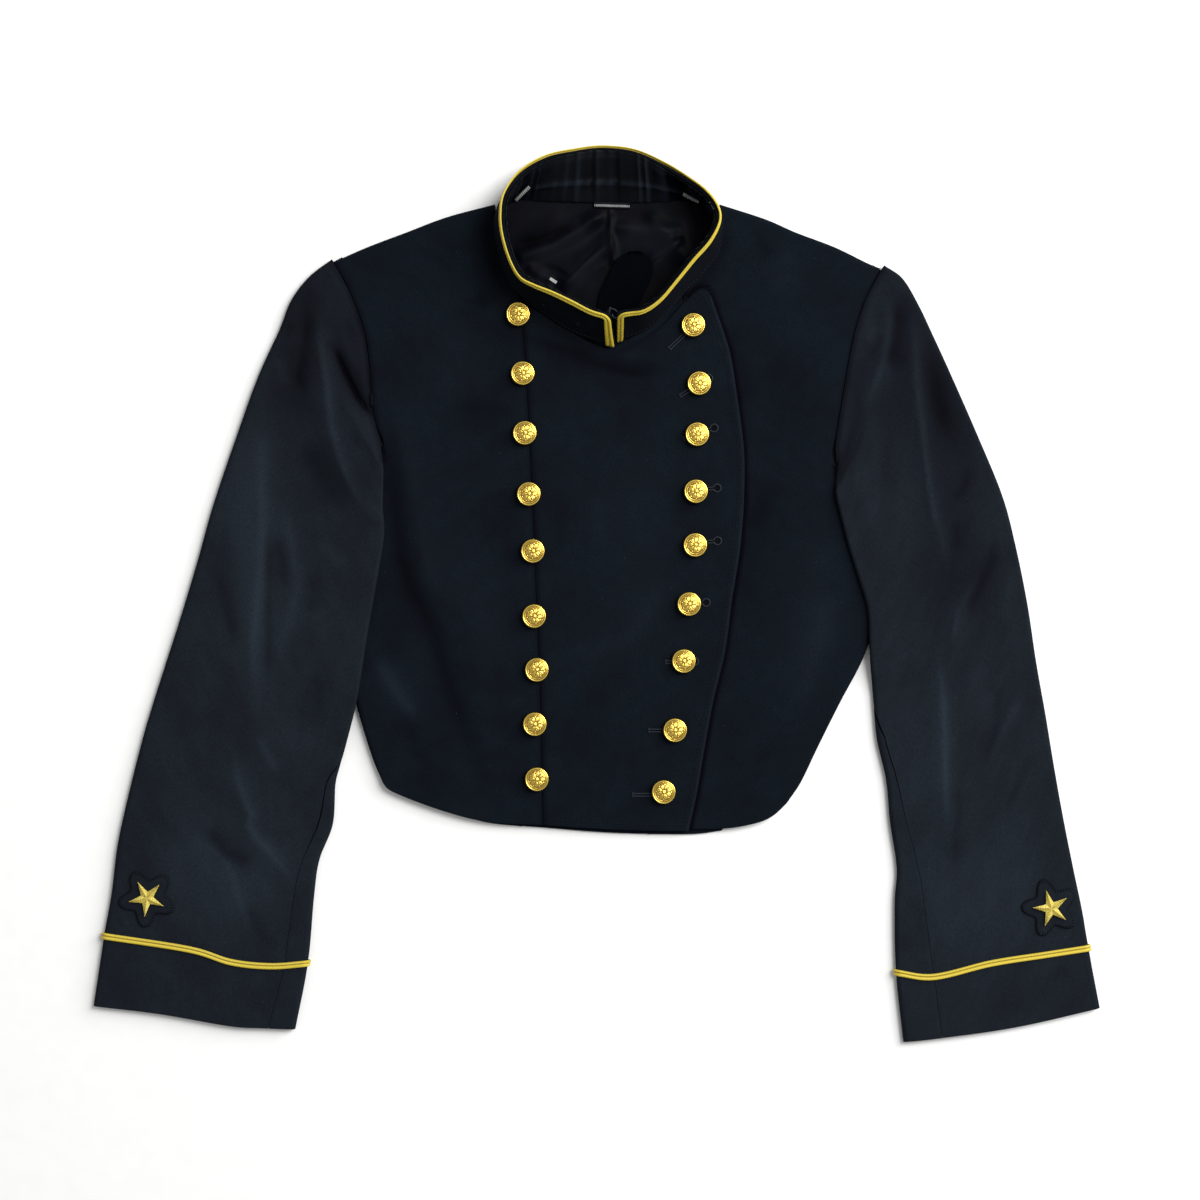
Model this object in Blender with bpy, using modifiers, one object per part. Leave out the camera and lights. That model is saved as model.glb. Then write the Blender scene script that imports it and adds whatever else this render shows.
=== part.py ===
"""Mess dress jacket, laid flat on its back with the fronts up.

A short double-breasted wool jacket: a flat back, two side fronts, the overlap that closes on top,
the underlap beneath it, two-piece sleeves, a standing collar, gold braid, cuff stars and eighteen
gilt buttons. All sizes below are millimetres in plan: +X is the wearer's left, +Y is the collar,
+Z is up from the table.
"""
import math
from typing import NamedTuple

import bmesh
import bpy
import numpy as np
from mathutils import Vector

MM = 0.001
OBJECT_NAME = "mess_dress_jacket"
CENTRE = (-2.5, 4.1)            # middle of the laid-out jacket in the plan's own numbers

# Cloth walls and the layers they lie in
WOOL = 2.0                      # back
FRONT_WOOL = 2.4                # fronts, with their canvas and facing
SLEEVE_WOOL = 1.6
COLLAR_WALL = 2.5
LINING = 0.9
BRAID = 1.3
SEAM_GAP = 0.3
MERGE = 0.01                    # points closer than this are one
FRONT_TOP = 7.6                 # upper side of the fronts
OVERLAP_TOP = 7.8
UNDERLAP_TOP = 4.9
SLEEVE_TOP = 7.0
LIP_LOW = 8.3                   # underside of the sleeve's inner fold where it lies on the body
LIP_TOP = 12.7
LIP_SLOPE = 80.0                # from the inner fold to where the sleeve is back at its own height
SHOULDER_TURN = 10.0            # cloth turned under along the shoulder
ELBOW_TURN = 16.0               # topsleeve turned under to the elbow seam

# Grid steps
ROW_STEP = 30.0
SLEEVE_STEP = 27.0
ROLL_STEPS = 5
ROLL_COLUMNS = ROLL_STEPS + 2
TOPSLEEVE_STEPS = (1, 4, 11, 5, 1)
UNDERSLEEVE_STEPS = (2, 5, 3)
BRAID_RING_STEPS = (2, 5, 13, 5, 4)


class Row(NamedTuple):
    """One section of a front panel, from the side to the centre."""

    path: tuple                 # plan points
    fold: float                 # 1 where the side edge is a fold, 0 where it is the armhole seam
    turn: float                 # cloth turned under past the side fold


class SleeveRow(NamedTuple):
    """One section of a sleeve, from the elbow fold to the inner edge."""

    path: tuple                 # plan points
    joined: float               # 1 where the inner edge is the armhole seam, 0 where it is a fold
    lap: float                  # 1 where the inner fold lies on the body
    inner: float                # where the topsleeve ends, measured round the cloth past the inner edge
    under: float                # where the undersleeve starts, measured the same way


class Station(NamedTuple):
    """One upright of the standing collar, round the neck from the right end to the left end."""

    foot: tuple
    crest: tuple


class Fold(NamedTuple):
    """A soft ridge (height above 0) or trough (below 0) along a line."""

    line: tuple
    height: float
    width: float


# ---------------------------------------------------------------- curves in plan
def smooth(points, spans=8):
    """Dense line through a few points: straight for two, Catmull-Rom for more."""
    knots = np.array(points, dtype=float)
    if len(knots) == 2:
        return knots[0] + np.linspace(0, 1, spans * 3)[:, None] * (knots[1] - knots[0])
    steps = np.linspace(0, len(knots) - 1, spans * (len(knots) - 1) + 1)
    return np.array([through(knots, t) for t in steps])


def through(knots, t):
    """Point at t, counted in knots, on the Catmull-Rom curve through them."""
    last = len(knots) - 1
    index = min(int(t), last - 1)
    f = t - index
    b, c = knots[index], knots[index + 1]
    a = knots[index - 1] if index > 0 else 2 * b - c
    d = knots[index + 2] if index + 2 <= last else 2 * c - b
    square = 2 * a - 5 * b + 4 * c - d
    cube = 3 * b - a - 3 * c + d
    return b + 0.5 * ((c - a) * f + square * f ** 2 + cube * f ** 3)


def lengths(line):
    """Distance along a line at each of its points."""
    steps = np.linalg.norm(np.diff(line, axis=0), axis=1)
    return np.concatenate([[0.0], np.cumsum(steps)])


def at(line, distance):
    """Points at one or more distances along a line, carried straight on past its ends."""
    run = lengths(line)
    spots = np.stack([np.interp(distance, run, line[:, k]) for k in range(line.shape[1])], axis=-1)
    before = np.minimum(distance, 0)
    after = np.maximum(distance - run[-1], 0)
    first = (line[1] - line[0]) / run[1]
    last = (line[-1] - line[-2]) / (run[-1] - run[-2])
    return spots + np.multiply.outer(before, first) + np.multiply.outer(after, last)


def even(points, count):
    """A line resampled to evenly spaced points."""
    line = np.asarray(points, dtype=float)
    return at(line, np.linspace(0, lengths(line)[-1], count))


def ease(value):
    """0 below 0, 1 above 1, smooth between."""
    value = np.clip(value, 0.0, 1.0)
    return value * value * (3 - 2 * value)


def away(x, y, line):
    """Distance in plan from points to a line."""
    spots = np.stack([np.asarray(x, dtype=float), np.asarray(y, dtype=float)], axis=-1)[..., None, :]
    start = np.array(line[:-1], dtype=float)
    step = np.array(line[1:], dtype=float) - start
    f = np.clip(((spots - start) * step).sum(-1) / (step ** 2).sum(-1), 0, 1)
    return np.linalg.norm(spots - start - f[..., None] * step, axis=-1).min(-1)


# ---------------------------------------------------------------- seams that two pieces share
# Plan points, from the hem up for the princess seam and from the shoulder down for the armholes
PRINCESS_SEAM = ((-42.7, -168), (-43.4, -130), (-44.2, -90), (-45.6, -45), (-47.6, 0), (-49.2, 45),
                 (-51.2, 90), (-54.2, 150), (-56.4, 187), (-59, 223))
ARMHOLE_RIGHT = ((-201, 255.5), (-189.3, 234.5), (-180.8, 214.5), (-175.5, 196.5), (-172.3, 172),
                 (-170.8, 148), (-167.6, 131.5), (-163, 114), (-162, 104))
ARMHOLE_LEFT = ((213, 251), (203, 234), (195.3, 216), (189.3, 195), (185, 173), (181.3, 150), (177.5, 127),
                (176, 114), (176.5, 103), (176, 95))


def on_seam(points, y, aside=0.0):
    """Plan point of a seam at a height in the plan, moved aside in X."""
    line = smooth(points)
    order = np.argsort(line[:, 1])
    return (float(np.interp(y, line[order, 1], line[order, 0])) + aside, y)


def princess(y, aside):
    """Point beside the princess seam: the side front is on its -X side, the overlap on its +X side."""
    return on_seam(PRINCESS_SEAM, y, aside * SEAM_GAP / 2)


def armhole_right(y, aside=0.0):
    """Point of the right armhole seam, moved aside by that many seam gaps."""
    return on_seam(ARMHOLE_RIGHT, y, aside * SEAM_GAP)


def armhole_left(y, aside=0.0):
    """Point of the left armhole seam, moved aside by that many seam gaps."""
    return on_seam(ARMHOLE_LEFT, y, aside * SEAM_GAP)


# ---------------------------------------------------------------- sections of the panels
FRONT_RIGHT = (
    Row(((-163, -135.5), (-154.5, -143.5), (-117.5, -157.5), (-83, -166), princess(-168, -1)), 1, 26),
    Row(((-170.5, -117.5), princess(-143.5, -1)), 1, 24),
    Row(((-181.5, -81.5), princess(-104.5, -1)), 1, 21),
    Row(((-188.5, -46.5), princess(-52.5, -1)), 1, 18),
    Row(((-190, -3.5), princess(-7.5, -1)), 1, 15),
    Row(((-187, 39), princess(36, -1)), 1, 11),
    Row(((-180.5, 77), princess(75, -1)), 1, 8),
    Row((armhole_right(113, 4), princess(112, -1)), 0, 8),
    Row((armhole_right(130, 4), princess(130, -1)), 0, 8),
    Row((armhole_right(147.5, 3), princess(148, -1)), 0, 8),
    Row((armhole_right(180, 2), princess(185.5, -1)), 0, 8),
    Row((armhole_right(198, 2), princess(204, -1)), 0, 8),
    Row((armhole_right(214.5, 2), princess(222, -1)), 0, 8),
    Row((armhole_right(234.5, 2), (-70.5, 248)), 0, 8),
    Row((armhole_right(244, 2), (-77, 275)), 0, 8),
    Row(((-199, 253), (-174, 264), (-145, 275), (-114.5, 286.5), (-78.7, 296)), 0, 8),
)

FRONT_LEFT = (
    Row(((140.5, -151), (128, -162), (113.5, -167.5), (90.5, -171), (54, -171)), 1, 26),
    Row(((150.5, -136), (57.5, -142)), 1, 24),
    Row(((163.5, -109), (62, -108.5)), 1, 21),
    Row(((179.5, -77), (66, -75)), 1, 18),
    Row(((198, -41), (68, -41)), 1, 15),
    Row(((209.5, -2), (69.5, -3.5)), 1, 12),
    Row(((210, 36), (71, 37.5)), 1, 9),
    Row(((200.5, 71), (72.5, 71)), 1, 7),
    Row((armhole_left(104, -5), (73.5, 106)), 0, 7),
    Row((armhole_left(124, -2), (72.5, 131)), 0, 7),
    Row((armhole_left(141, -2), (72, 148)), 0, 7),
    Row((armhole_left(158.5, -2), (71, 164.5)), 0, 7),
    Row((armhole_left(193, -2), (66.5, 198)), 0, 7),
    Row((armhole_left(216, -2), (62.5, 225)), 0, 7),
    Row((armhole_left(226, -2), (77.5, 246)), 0, 7),
    Row((armhole_left(236, -2), (88.5, 271.5)), 0, 7),
    Row(((209.8, 248), (199.5, 252.3), (175.5, 264), (146.5, 275), (123.5, 285), (89.5, 296)), 0, 7),
)

OVERLAP = (
    Row((princess(-168, 1), (-22.5, -169.5), (11, -171.5), (45.5, -172.5), (66, -172.5)), 0, 0),
    Row((princess(-146, 1), (72, -146)), 0, 0),
    Row((princess(-112, 1), (77.5, -113.5)), 0, 0),
    Row((princess(-75, 1), (84.5, -75.5)), 0, 0),
    Row((princess(-37.5, 1), (93.5, -38)), 0, 0),
    Row((princess(0, 1), (98.5, 0)), 0, 0),
    Row((princess(37.5, 1), (104.5, 37.5)), 0, 0),
    Row((princess(75, 1), (107.5, 75)), 0, 0),
    Row((princess(112, 1), (10.5, 103), (107.5, 112)), 0, 0),
    Row((princess(149.5, 1), (10.5, 131), (102.5, 151.5)), 0, 0),
    Row((princess(187, 1), (-30, 169), (10.5, 160), (52.5, 170.5), (96.5, 187)), 0, 0),
    Row((princess(222.5, 1), (-49, 217), (-22.5, 200.3), (10.5, 186.7), (40.5, 199.8), (61, 220),
         (70.5, 229.3), (76, 231.9), (80.5, 230.5), (83.5, 225.5)), 0, 0),
)

UNDERLAP = (
    Row(((53.5, -169.5), (-30, -167)), 0, 0),
    Row(((57, -142), (-34, -142)), 0, 0),
    Row(((65.5, -75), (-42, -75)), 0, 0),
    Row(((69, -3.5), (-44, -3.5)), 0, 0),
    Row(((72, 71), (-45, 71)), 0, 0),
    Row(((72, 131), (-40, 131)), 0, 0),
    Row(((70, 164), (-30, 152)), 0, 0),
    Row(((65.8, 198), (30, 180), (-20, 163)), 0, 0),
    Row(((61.5, 225.5), (48, 214), (34, 202.5), (20, 194.5), (4, 184), (-14, 172)), 0, 0),
)

UNDERLAP_CORNER = (
    Row(((25, 204), (2, 206)), 0, 0),
    Row(((28, 217), (-1.5, 218)), 0, 0),
    Row(((33, 229), (0.5, 230)), 0, 0),
    Row(((38, 239.5), (5.5, 241)), 0, 0),
    Row(((39.5, 249), (10.5, 251)), 0, 0),
    Row(((36, 256.5), (16, 257.5)), 0, 0),
    Row(((29.5, 260.3), (23, 260.3)), 0, 0),
)

SLEEVE_RIGHT = (
    SleeveRow(tuple(map(armhole_right, (255, 243, 230, 215, 200, 182, 165, 148))), 1, 0, 12, 6),
    SleeveRow(((-217.5, 242), (-190.5, 198), armhole_right(131.5)), 1, 0, 12, 9),
    SleeveRow(((-231, 224.5), (-190.5, 175.5), armhole_right(115)), 1, 0, 12, 18),
    SleeveRow(((-240, 202), (-194.5, 151), (-161.5, 97)), 0, 1, 12, 26),
    SleeveRow(((-255.5, 168), (-162, 71)), 0, 1, 12, 29),
    SleeveRow(((-272, 122.5), (-161, 48.5)), 0, 1, 12, 33),
    SleeveRow(((-289.5, 71), (-166.5, 13.5)), 0, 1, 12, 30),
    SleeveRow(((-301, 30), (-173.5, -26)), 0, 1, 12, 23),
    SleeveRow(((-314.5, -15), (-181, -73.5)), 0, 1, 12, 16),
    SleeveRow(((-329, -60), (-190.5, -110)), 0, 0, 1, 8),
    SleeveRow(((-335.5, -80.8), (-194.7, -124.7)), 0, 0, -4, 0.5),
    SleeveRow(((-341.5, -101), (-198, -138.5)), 0, 0, -9, -7.0),
    SleeveRow(((-352, -142), (-200, -168)), 0, 0, -13, -12.0),
    SleeveRow(((-361, -183), (-210, -194.5)), 0, 0, -14, -13.7),
    SleeveRow(((-365.5, -219), (-214, -222)), 0, 0, -17, -16.7),
    SleeveRow(((-371, -251), (-306.5, -261), (-275.5, -270.5), (-246, -273.5), (-218.5, -271.5)),
              0, 0, -20, -19.7),
    SleeveRow(((-379, -303.5), (-329, -309.5), (-276.5, -318.5), (-252.5, -320), (-228, -321)),
              0, 0, -22, -21.7),
)

SLEEVE_LEFT = (
    SleeveRow(tuple(map(armhole_left, (250.5, 240, 225, 210, 195, 175, 150, 126.5))), 1, 0, 12, 6),
    SleeveRow(((226.5, 240.5), (200.5, 190.5), armhole_left(113.5)), 1, 0, 12, 10),
    SleeveRow(((238.5, 220.5), (200.5, 160.5), armhole_left(103.5)), 1, 0, 12, 20),
    SleeveRow(((249.5, 197.5), (205.5, 134.5), (175.5, 80.5)), 0, 1, 12, 37),
    SleeveRow(((263, 168), (179.5, 62)), 0, 1, 12, 46),
    SleeveRow(((282.5, 123.5), (185.5, 39)), 0, 1, 12, 42),
    SleeveRow(((301, 78.5), (193, 15.5)), 0, 1, 12, 32),
    SleeveRow(((311, 41), (199.5, -7.5)), 0, 1, 12, 23),
    SleeveRow(((320, -3.5), (201, -39)), 0, 1, 11, 17),
    SleeveRow(((326.5, -46.5), (204, -69)), 0, 0, 2, 6),
    SleeveRow(((333.5, -86), (207, -103)), 0, 0, -8, -7.2),
    SleeveRow(((340, -125.5), (214, -134.5)), 0, 0, -10, -9.3),
    SleeveRow(((347, -164.5), (217, -166)), 0, 0, -14, -13.7),
    SleeveRow(((354.5, -202), (222, -200.5)), 0, 0, -18, -17.7),
    SleeveRow(((361, -233), (220.5, -228)), 0, 0, -24, -23.7),
    SleeveRow(((365.5, -260), (333, -265), (291.5, -271.5), (249.5, -281.5), (221.5, -278.5)),
              0, 0, -31, -30.7),
    SleeveRow(((374, -305), (310, -319.5), (250.5, -328), (227, -330.5)), 0, 0, -31, -30.7),
)

COLLAR = (
    Station((8.3, 187.3, 8.9), (6.3, 209, 36)),
    Station((-8.5, 195, 8.9), (-6, 212.5, 36.5)),
    Station((-23, 200.5, 8.9), (-20, 219.5, 37.5)),
    Station((-38, 210.5, 8.9), (-35, 226.5, 39)),
    Station((-50, 218.5, 8.9), (-48, 231.5, 41)),
    Station((-62, 230, 8.6), (-58, 237, 43)),
    Station((-71.5, 246, 8.4), (-65, 249, 44)),
    Station((-78, 268, 8.4), (-70.5, 267, 44)),
    Station((-79.5, 283, 8.8), (-72, 283, 42)),
    Station((-76, 295.5, 6.3), (-69.5, 299, 37)),
    Station((-66, 302, 1.6), (-58.5, 316, 28)),
    Station((-46, 301.5, 0.6), (-40, 328.5, 20)),
    Station((-22, 300.5, 0.5), (-19, 334, 16)),
    Station((3, 299.5, 0.5), (2, 336.5, 15)),
    Station((28, 300, 0.5), (26, 333.5, 16)),
    Station((54, 301.5, 0.6), (48, 323, 20)),
    Station((74, 302, 1.6), (66, 310.5, 28)),
    Station((86, 298, 6.5), (78, 299.5, 37)),
    Station((91, 288, 8.4), (85.5, 288, 42)),
    Station((91.5, 275, 8.3), (86.5, 277, 44)),
    Station((88, 258, 8.1), (79.5, 263, 43.5)),
    Station((76, 243, 6.8), (68, 250, 42.5)),
    Station((62, 228, 6.1), (56.5, 236, 40.5)),
    Station((48.5, 212.5, 5.9), (44, 221.5, 38.5)),
    Station((34, 201, 5.9), (32.5, 213.5, 37)),
    Station((22, 195, 5.9), (22.5, 210, 36)),
    Station((13.2, 189.5, 5.9), (15.2, 208.5, 36)),
)
COLLAR_COLUMNS = 58
COLLAR_LEVELS = 2
GATHERS = 22                    # gathers of the collar lining across the back of the neck
GATHER_DEPTH = 1.1
BRAID_WIDTH = 5.0
BRAID_PROUD = 1.6               # braid above the collar's top edge
COLLAR_BULGE = 0.8
GATHERED = (10.3, 17.2)         # stations between which the collar lining is gathered
LINING_LEVELS = (0.03, 0.45, 0.92)
# Both ends of each tab: station, and share of the collar's height up from its foot
TAB_ENDS = {"right": ((9.75, 0.15), (10.3, 0.5)), "left": ((15.6, 0.45), (16.55, 0.2))}
COLLAR_EASE = 1.7               # between the collar's cloth and its lining
TAB_WIDTH = 4.2
TAB_WALL = 0.8
NECK_CENTRE = (8, 262, 60)
LABEL_X = (-4.5, 22.5)
LABEL_ROWS = ((292.8, 4.7), (297.2, 6.4))
LABEL_WALL = 0.5

BACK_HEM = ((-112, -158.5), (-83, -167), (-42, -170.5), (10, -174.4), (66, -175.4), (91, -172.8))
BACK_NECK = ((88, 283), (84.5, 296.5), (74, 299.6), (54, 300.2), (28, 299), (3, 298.6), (-22, 299.2),
             (-46, 300.2), (-64, 299.8), (-73, 296.5), (-76, 283))
BACK_ARMHOLE_HEIGHTS = (112, 130, 150, 170, 190, 205, 217, 230)
BACK_UNDERARM_RIGHT = (-163, 95)
BACK_UNDERARM_LEFT = (175, 92)

NECK_LINING = (
    Row(((-28, 201), (-4, 198), (22, 203)), 0, 0),
    Row(((-54, 219), (-4, 210), (44, 218)), 0, 0),
    Row(((-66, 236), (0, 230), (61, 237)), 0, 0),
    Row(((-74, 256), (0, 252), (77, 256)), 0, 0),
    Row(((-75, 278), (0, 275), (85, 277)), 0, 0),
    Row(((-69, 298), (-40, 298.6), (0, 298.2), (40, 298.6), (78, 297.5)), 0, 0),
)

FRONT_FOLDS = (
    Fold(((-155, 21), (-138, -18), (-123, -59), (-105, -99), (-90, -135), (-84, -157)), -1.4, 10),
    Fold(((-175, -39), (-157, -73), (-138, -94), (-126, -116), (-118, -139)), 1.3, 9),
    Fold(((-150, 180), (-120, 120), (-100, 60)), 0.6, 26),
    Fold(((-168, 97), (-170, 88)), -3.0, 14),
    Fold(((180, 96), (190, 78)), -3.4, 14),
    Fold(((190, -20), (165, -75), (140, -125)), 0.8, 14),
    Fold(((160, 140), (150, 60), (165, 0)), 0.7, 20),
)
OVERLAP_FOLDS = (
    Fold(((-54, 200), (-20, 181), (30, 180)), 0.9, 9),
    Fold(((-10, -95), (12, -60), (20, -20)), 0.7, 12),
    Fold(((20, 120), (35, 20), (25, -60)), 0.5, 22),
)
NECK_FOLDS = (
    Fold(((9, 286), (7, 276), (11, 254)), 1.2, 2.5),
    Fold(((-60, 261), (-36, 272), (-14, 281), (0, 288)), 2.0, 5),
    Fold(((-26, 240), (-12, 255), (4, 270)), 1.8, 5),
    Fold(((40, 285), (52, 268), (62, 258)), 1.8, 6),
    Fold(((-62, 245), (-40, 232)), 1.5, 6),
)
SLEEVE_RIGHT_FOLDS = (
    Fold(((-197, 188), (-189, 162), (-179, 146)), -2.0, 7),
    Fold(((-212, 228), (-212, 199), (-206, 170), (-198, 155)), 1.8, 8),
    Fold(((-221, 214), (-221, 176)), -1.2, 7),
    Fold(((-258, 148), (-254, 121), (-252, 90), (-254, 52), (-252, -5), (-249, -86), (-241, -129)),
         1.6, 13),
    Fold(((-206, 144), (-198, 109), (-183, 81), (-164, 60)), 1.5, 9),
    Fold(((-290, 33), (-279, -25)), -1.5, 10),
    Fold(((-267, -146), (-261, -172), (-239, -202), (-229, -215)), 1.5, 9),
    Fold(((-308, -170), (-286, -185), (-276, -205), (-269, -232)), -1.4, 9),
)
SLEEVE_LEFT_FOLDS = (
    Fold(((220, 230), (216, 196), (211, 172)), 1.7, 8),
    Fold(((231, 224), (235, 186), (238, 148), (247, 90), (251, 49)), 1.6, 11),
    Fold(((224, 219), (220, 176)), -1.4, 7),
    Fold(((291, 37), (277, 4), (266, -25)), 1.4, 11),
    Fold(((257, -43), (257, -86), (256, -129), (262, -176)), 1.5, 12),
    Fold(((298, -75), (294, -104), (281, -133)), -1.3, 9),
    Fold(((313, -138), (298, -172)), 1.2, 9),
    Fold(((188, 96), (200, 60), (214, 30)), 1.4, 9),
)

BUTTON_RADIUS = 9.3
SHANK_RADIUS = 2.2
SHANK_FREE = 1.3                # how far the rim may come nearer the cloth than the shank
BUTTON_SEGMENTS = 12
BUTTON_PROFILE = ((SHANK_RADIUS, 0.3), (SHANK_RADIUS, 1.5), (8.7, 2.0), (BUTTON_RADIUS, 2.9), (8.9, 3.8),
                  (7.3, 5.3), (3.8, 6.6), (0, 7.0))
BUTTONS_RIGHT = ((-61, 213), (-57.5, 169), (-56, 124.5), (-53, 79), (-50, 36.5), (-49, -12),
                 (-47, -52), (-48.5, -92.5), (-47, -133.5))
BUTTONS_LEFT = ((69.5, 205), (74, 161.5), (72.5, 123.5), (71.5, 81), (71, 41), (66.5, -3),
                (62.5, -45.5), (56, -97), (47.5, -143))

STAR_CENTRES = {"right": (-338, -222.5), "left": (336.5, -230)}
STAR_TURN = {"right": math.radians(-97), "left": math.radians(-110)}
STAR_RADIUS = 13.3
STAR_WAIST = 0.42
STAR_RISE = 1.7
PATCH_RADIUS = 20.5
PATCH_WAIST = 0.68
PATCH_WALL = 1.0
STAR_WALL = 0.9
CUFF_BRAID_ROW = {"right": 15, "left": 15}
BRAID_RELIEF = 0.8              # between cloth that bends and the braid on it
BRAID_ARCH = 2.15               # the undersleeve's rise over the braid that it lies on
BRAID_ARCH_WIDTH = 9.0

COLOURS = {
    "navy_wool": ((0.010, 0.012, 0.020, 1), 0.85, 0.0),
    "dark_satin": ((0.016, 0.014, 0.020, 1), 0.35, 0.0),
    "gold_braid": ((0.68, 0.43, 0.04, 1), 0.55, 0.0),
    "gilt_brass": ((0.83, 0.55, 0.17, 1), 0.25, 1.0),
    "white_tape": ((0.70, 0.70, 0.68, 1), 0.80, 0.0),
}


# ---------------------------------------------------------------- rows and folds
def creases(x, y, folds):
    """Height that the folds add at plan points."""
    return sum(fold.height * np.exp(-(away(x, y, fold.line) / fold.width) ** 2) for fold in folds)


def sections(rows, step):
    """Rows filled in between a table's rows, about a step apart, as (line, other columns)."""
    lines = np.array([even(smooth(row.path), 40) for row in rows])
    others = np.array([row[1:] for row in rows], dtype=float)
    result = []
    for index in range(len(rows) - 1):
        apart = np.linalg.norm(lines[index + 1] - lines[index], axis=1).mean()
        count = max(1, round(apart / step))
        for part in range(count):
            t = index + part / count
            between = others[index] + part / count * (others[index + 1] - others[index])
            result.append((through(lines, t), between))
    result.append((lines[-1], others[-1]))
    return result


# ---------------------------------------------------------------- heights of the layers
OVERLAP_EDGE = np.array([row.path[-1] for row in OVERLAP], dtype=float)
OVERLAP_CORNER_Y = 228.0


def front_top(x, y):
    """Upper side of the right side front."""
    return FRONT_TOP + creases(x, y, FRONT_FOLDS)


def overlap_top(x, y):
    """Upper side of the overlap: level with the side front at the seam, lifted by what lies under it."""
    return OVERLAP_TOP + creases(x, y, OVERLAP_FOLDS)


def left_front_top(x, y):
    """Upper side of the left side front: low under the overlap, then up to its side fold."""
    edge = np.interp(y, OVERLAP_EDGE[:, 1], OVERLAP_EDGE[:, 0])
    rise = np.maximum((x - edge - 2) / 55.0, (y - OVERLAP_CORNER_Y - 4) / 30.0)
    rise = ease(rise)
    return UNDERLAP_TOP + rise * (FRONT_TOP - UNDERLAP_TOP + creases(x, y, FRONT_FOLDS))


def underlap_top(x, y):
    """Upper side of the underlap."""
    return UNDERLAP_TOP + 0 * x


def underlap_corner_top(x, y):
    """Upper side of the underlap's rounded corner, which lies turned up on the neck lining."""
    return 6.3 + 1.6 * ease((y - 204) / 30.0) - ((x - 25) / 14.0) ** 2 * 0.15


def neck_lining_top(x, y):
    """Upper side of the body lining seen through the neck."""
    return WOOL + SEAM_GAP + LINING + ease((y - 196) / 25.0) * creases(x, y, NECK_FOLDS)


def sleeve_level(side, x, y):
    """Upper side of a sleeve clear of the body: level with the front at the armhole, lower at the cuff."""
    rows, folds = SLEEVES[side]
    drop = ease(away(x, y, rows[0].path) / 90.0)
    return FRONT_TOP - (FRONT_TOP - SLEEVE_TOP) * drop + creases(x, y, folds)


SLEEVES = {"right": (SLEEVE_RIGHT, SLEEVE_RIGHT_FOLDS), "left": (SLEEVE_LEFT, SLEEVE_LEFT_FOLDS)}


# ---------------------------------------------------------------- objects
def finish(name, material):
    """Material of that name, made once."""
    found = bpy.data.materials.get(material)
    if found is None:
        colour, roughness, metallic = COLOURS[material]
        found = bpy.data.materials.new(material)
        found.use_nodes = True
        shader = found.node_tree.nodes["Principled BSDF"]
        shader.inputs["Base Color"].default_value = colour
        shader.inputs["Roughness"].default_value = roughness
        shader.inputs["Metallic"].default_value = metallic
    slots = bpy.data.objects[name].data.materials
    if not slots:
        slots.append(found)


def add_object(name, data, material):
    """New object of the jacket, placed so that the jacket's middle is at the origin."""
    item = bpy.data.objects.new(name, data)
    bpy.data.collections[OBJECT_NAME].objects.link(item)
    item.location = (-CENTRE[0] * MM, -CENTRE[1] * MM, 0)
    item.parent = bpy.data.objects[OBJECT_NAME]
    finish(name, material)
    return item


def sheet(name, grid, wall, material, inside, ring=False, toward=False):
    """Cloth wall: a grid of outer points, facing away from (or toward) a point and thickened behind."""
    grid = np.asarray(grid, dtype=float)
    rows, columns = grid.shape[:2]
    mesh = bpy.data.meshes.new(name)
    shape = bmesh.new()
    bmesh.ops.create_grid(shape, x_segments=columns - 1, y_segments=rows - 1, size=1.0)
    for vertex in shape.verts:
        column = round((vertex.co.x + 1) / 2 * (columns - 1))
        row = round((vertex.co.y + 1) / 2 * (rows - 1))
        vertex.co = grid[row, column] * MM
    if ring:
        bmesh.ops.remove_doubles(shape, verts=shape.verts, dist=MERGE * MM)
    shape.normal_update()
    centre = Vector(inside) * MM
    outward = sum(f.normal.dot(f.calc_center_median() - centre) * f.calc_area() for f in shape.faces)
    if (outward < 0) != toward:
        bmesh.ops.reverse_faces(shape, faces=shape.faces)
    shape.to_mesh(mesh)
    shape.free()
    mesh.shade_smooth()
    item = add_object(name, mesh, material)
    solidify = item.modifiers.new("wall", "SOLIDIFY")
    solidify.thickness = wall * MM
    solidify.offset = -1.0
    return item


def roll(line, radius, low, steps, reach):
    """Points of a fold at a line's start: under it from reach in, round, and up to the upper side."""
    centre = at(line, radius)
    out = line[0] - centre
    points = [np.append(at(line, radius + reach), low)]
    for step in range(steps + 1):
        angle = math.pi * (step / steps - 0.5)
        points.append(np.append(centre + out * math.cos(angle), low + radius + radius * math.sin(angle)))
    return np.array(points)


def turned_row(line, top, fold, turn, count):
    """One row of a front: turned under at the side where fold is 1, flat to the armhole where it is 0."""
    radius = FRONT_TOP / 2
    total = lengths(line)[-1]
    flat_spots = at(line, np.linspace(0, radius, ROLL_COLUMNS))
    flat = np.column_stack([flat_spots, top(flat_spots[:, 0], flat_spots[:, 1])])
    edge = roll(line, radius, 0.0, ROLL_STEPS, turn)
    edge[-1, 2] = flat[-1, 2]
    spots = at(line, np.linspace(radius, total, count)[1:])
    upper = np.column_stack([spots, top(spots[:, 0], spots[:, 1])])
    return np.vstack([fold * edge + (1 - fold) * flat, upper])


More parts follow.
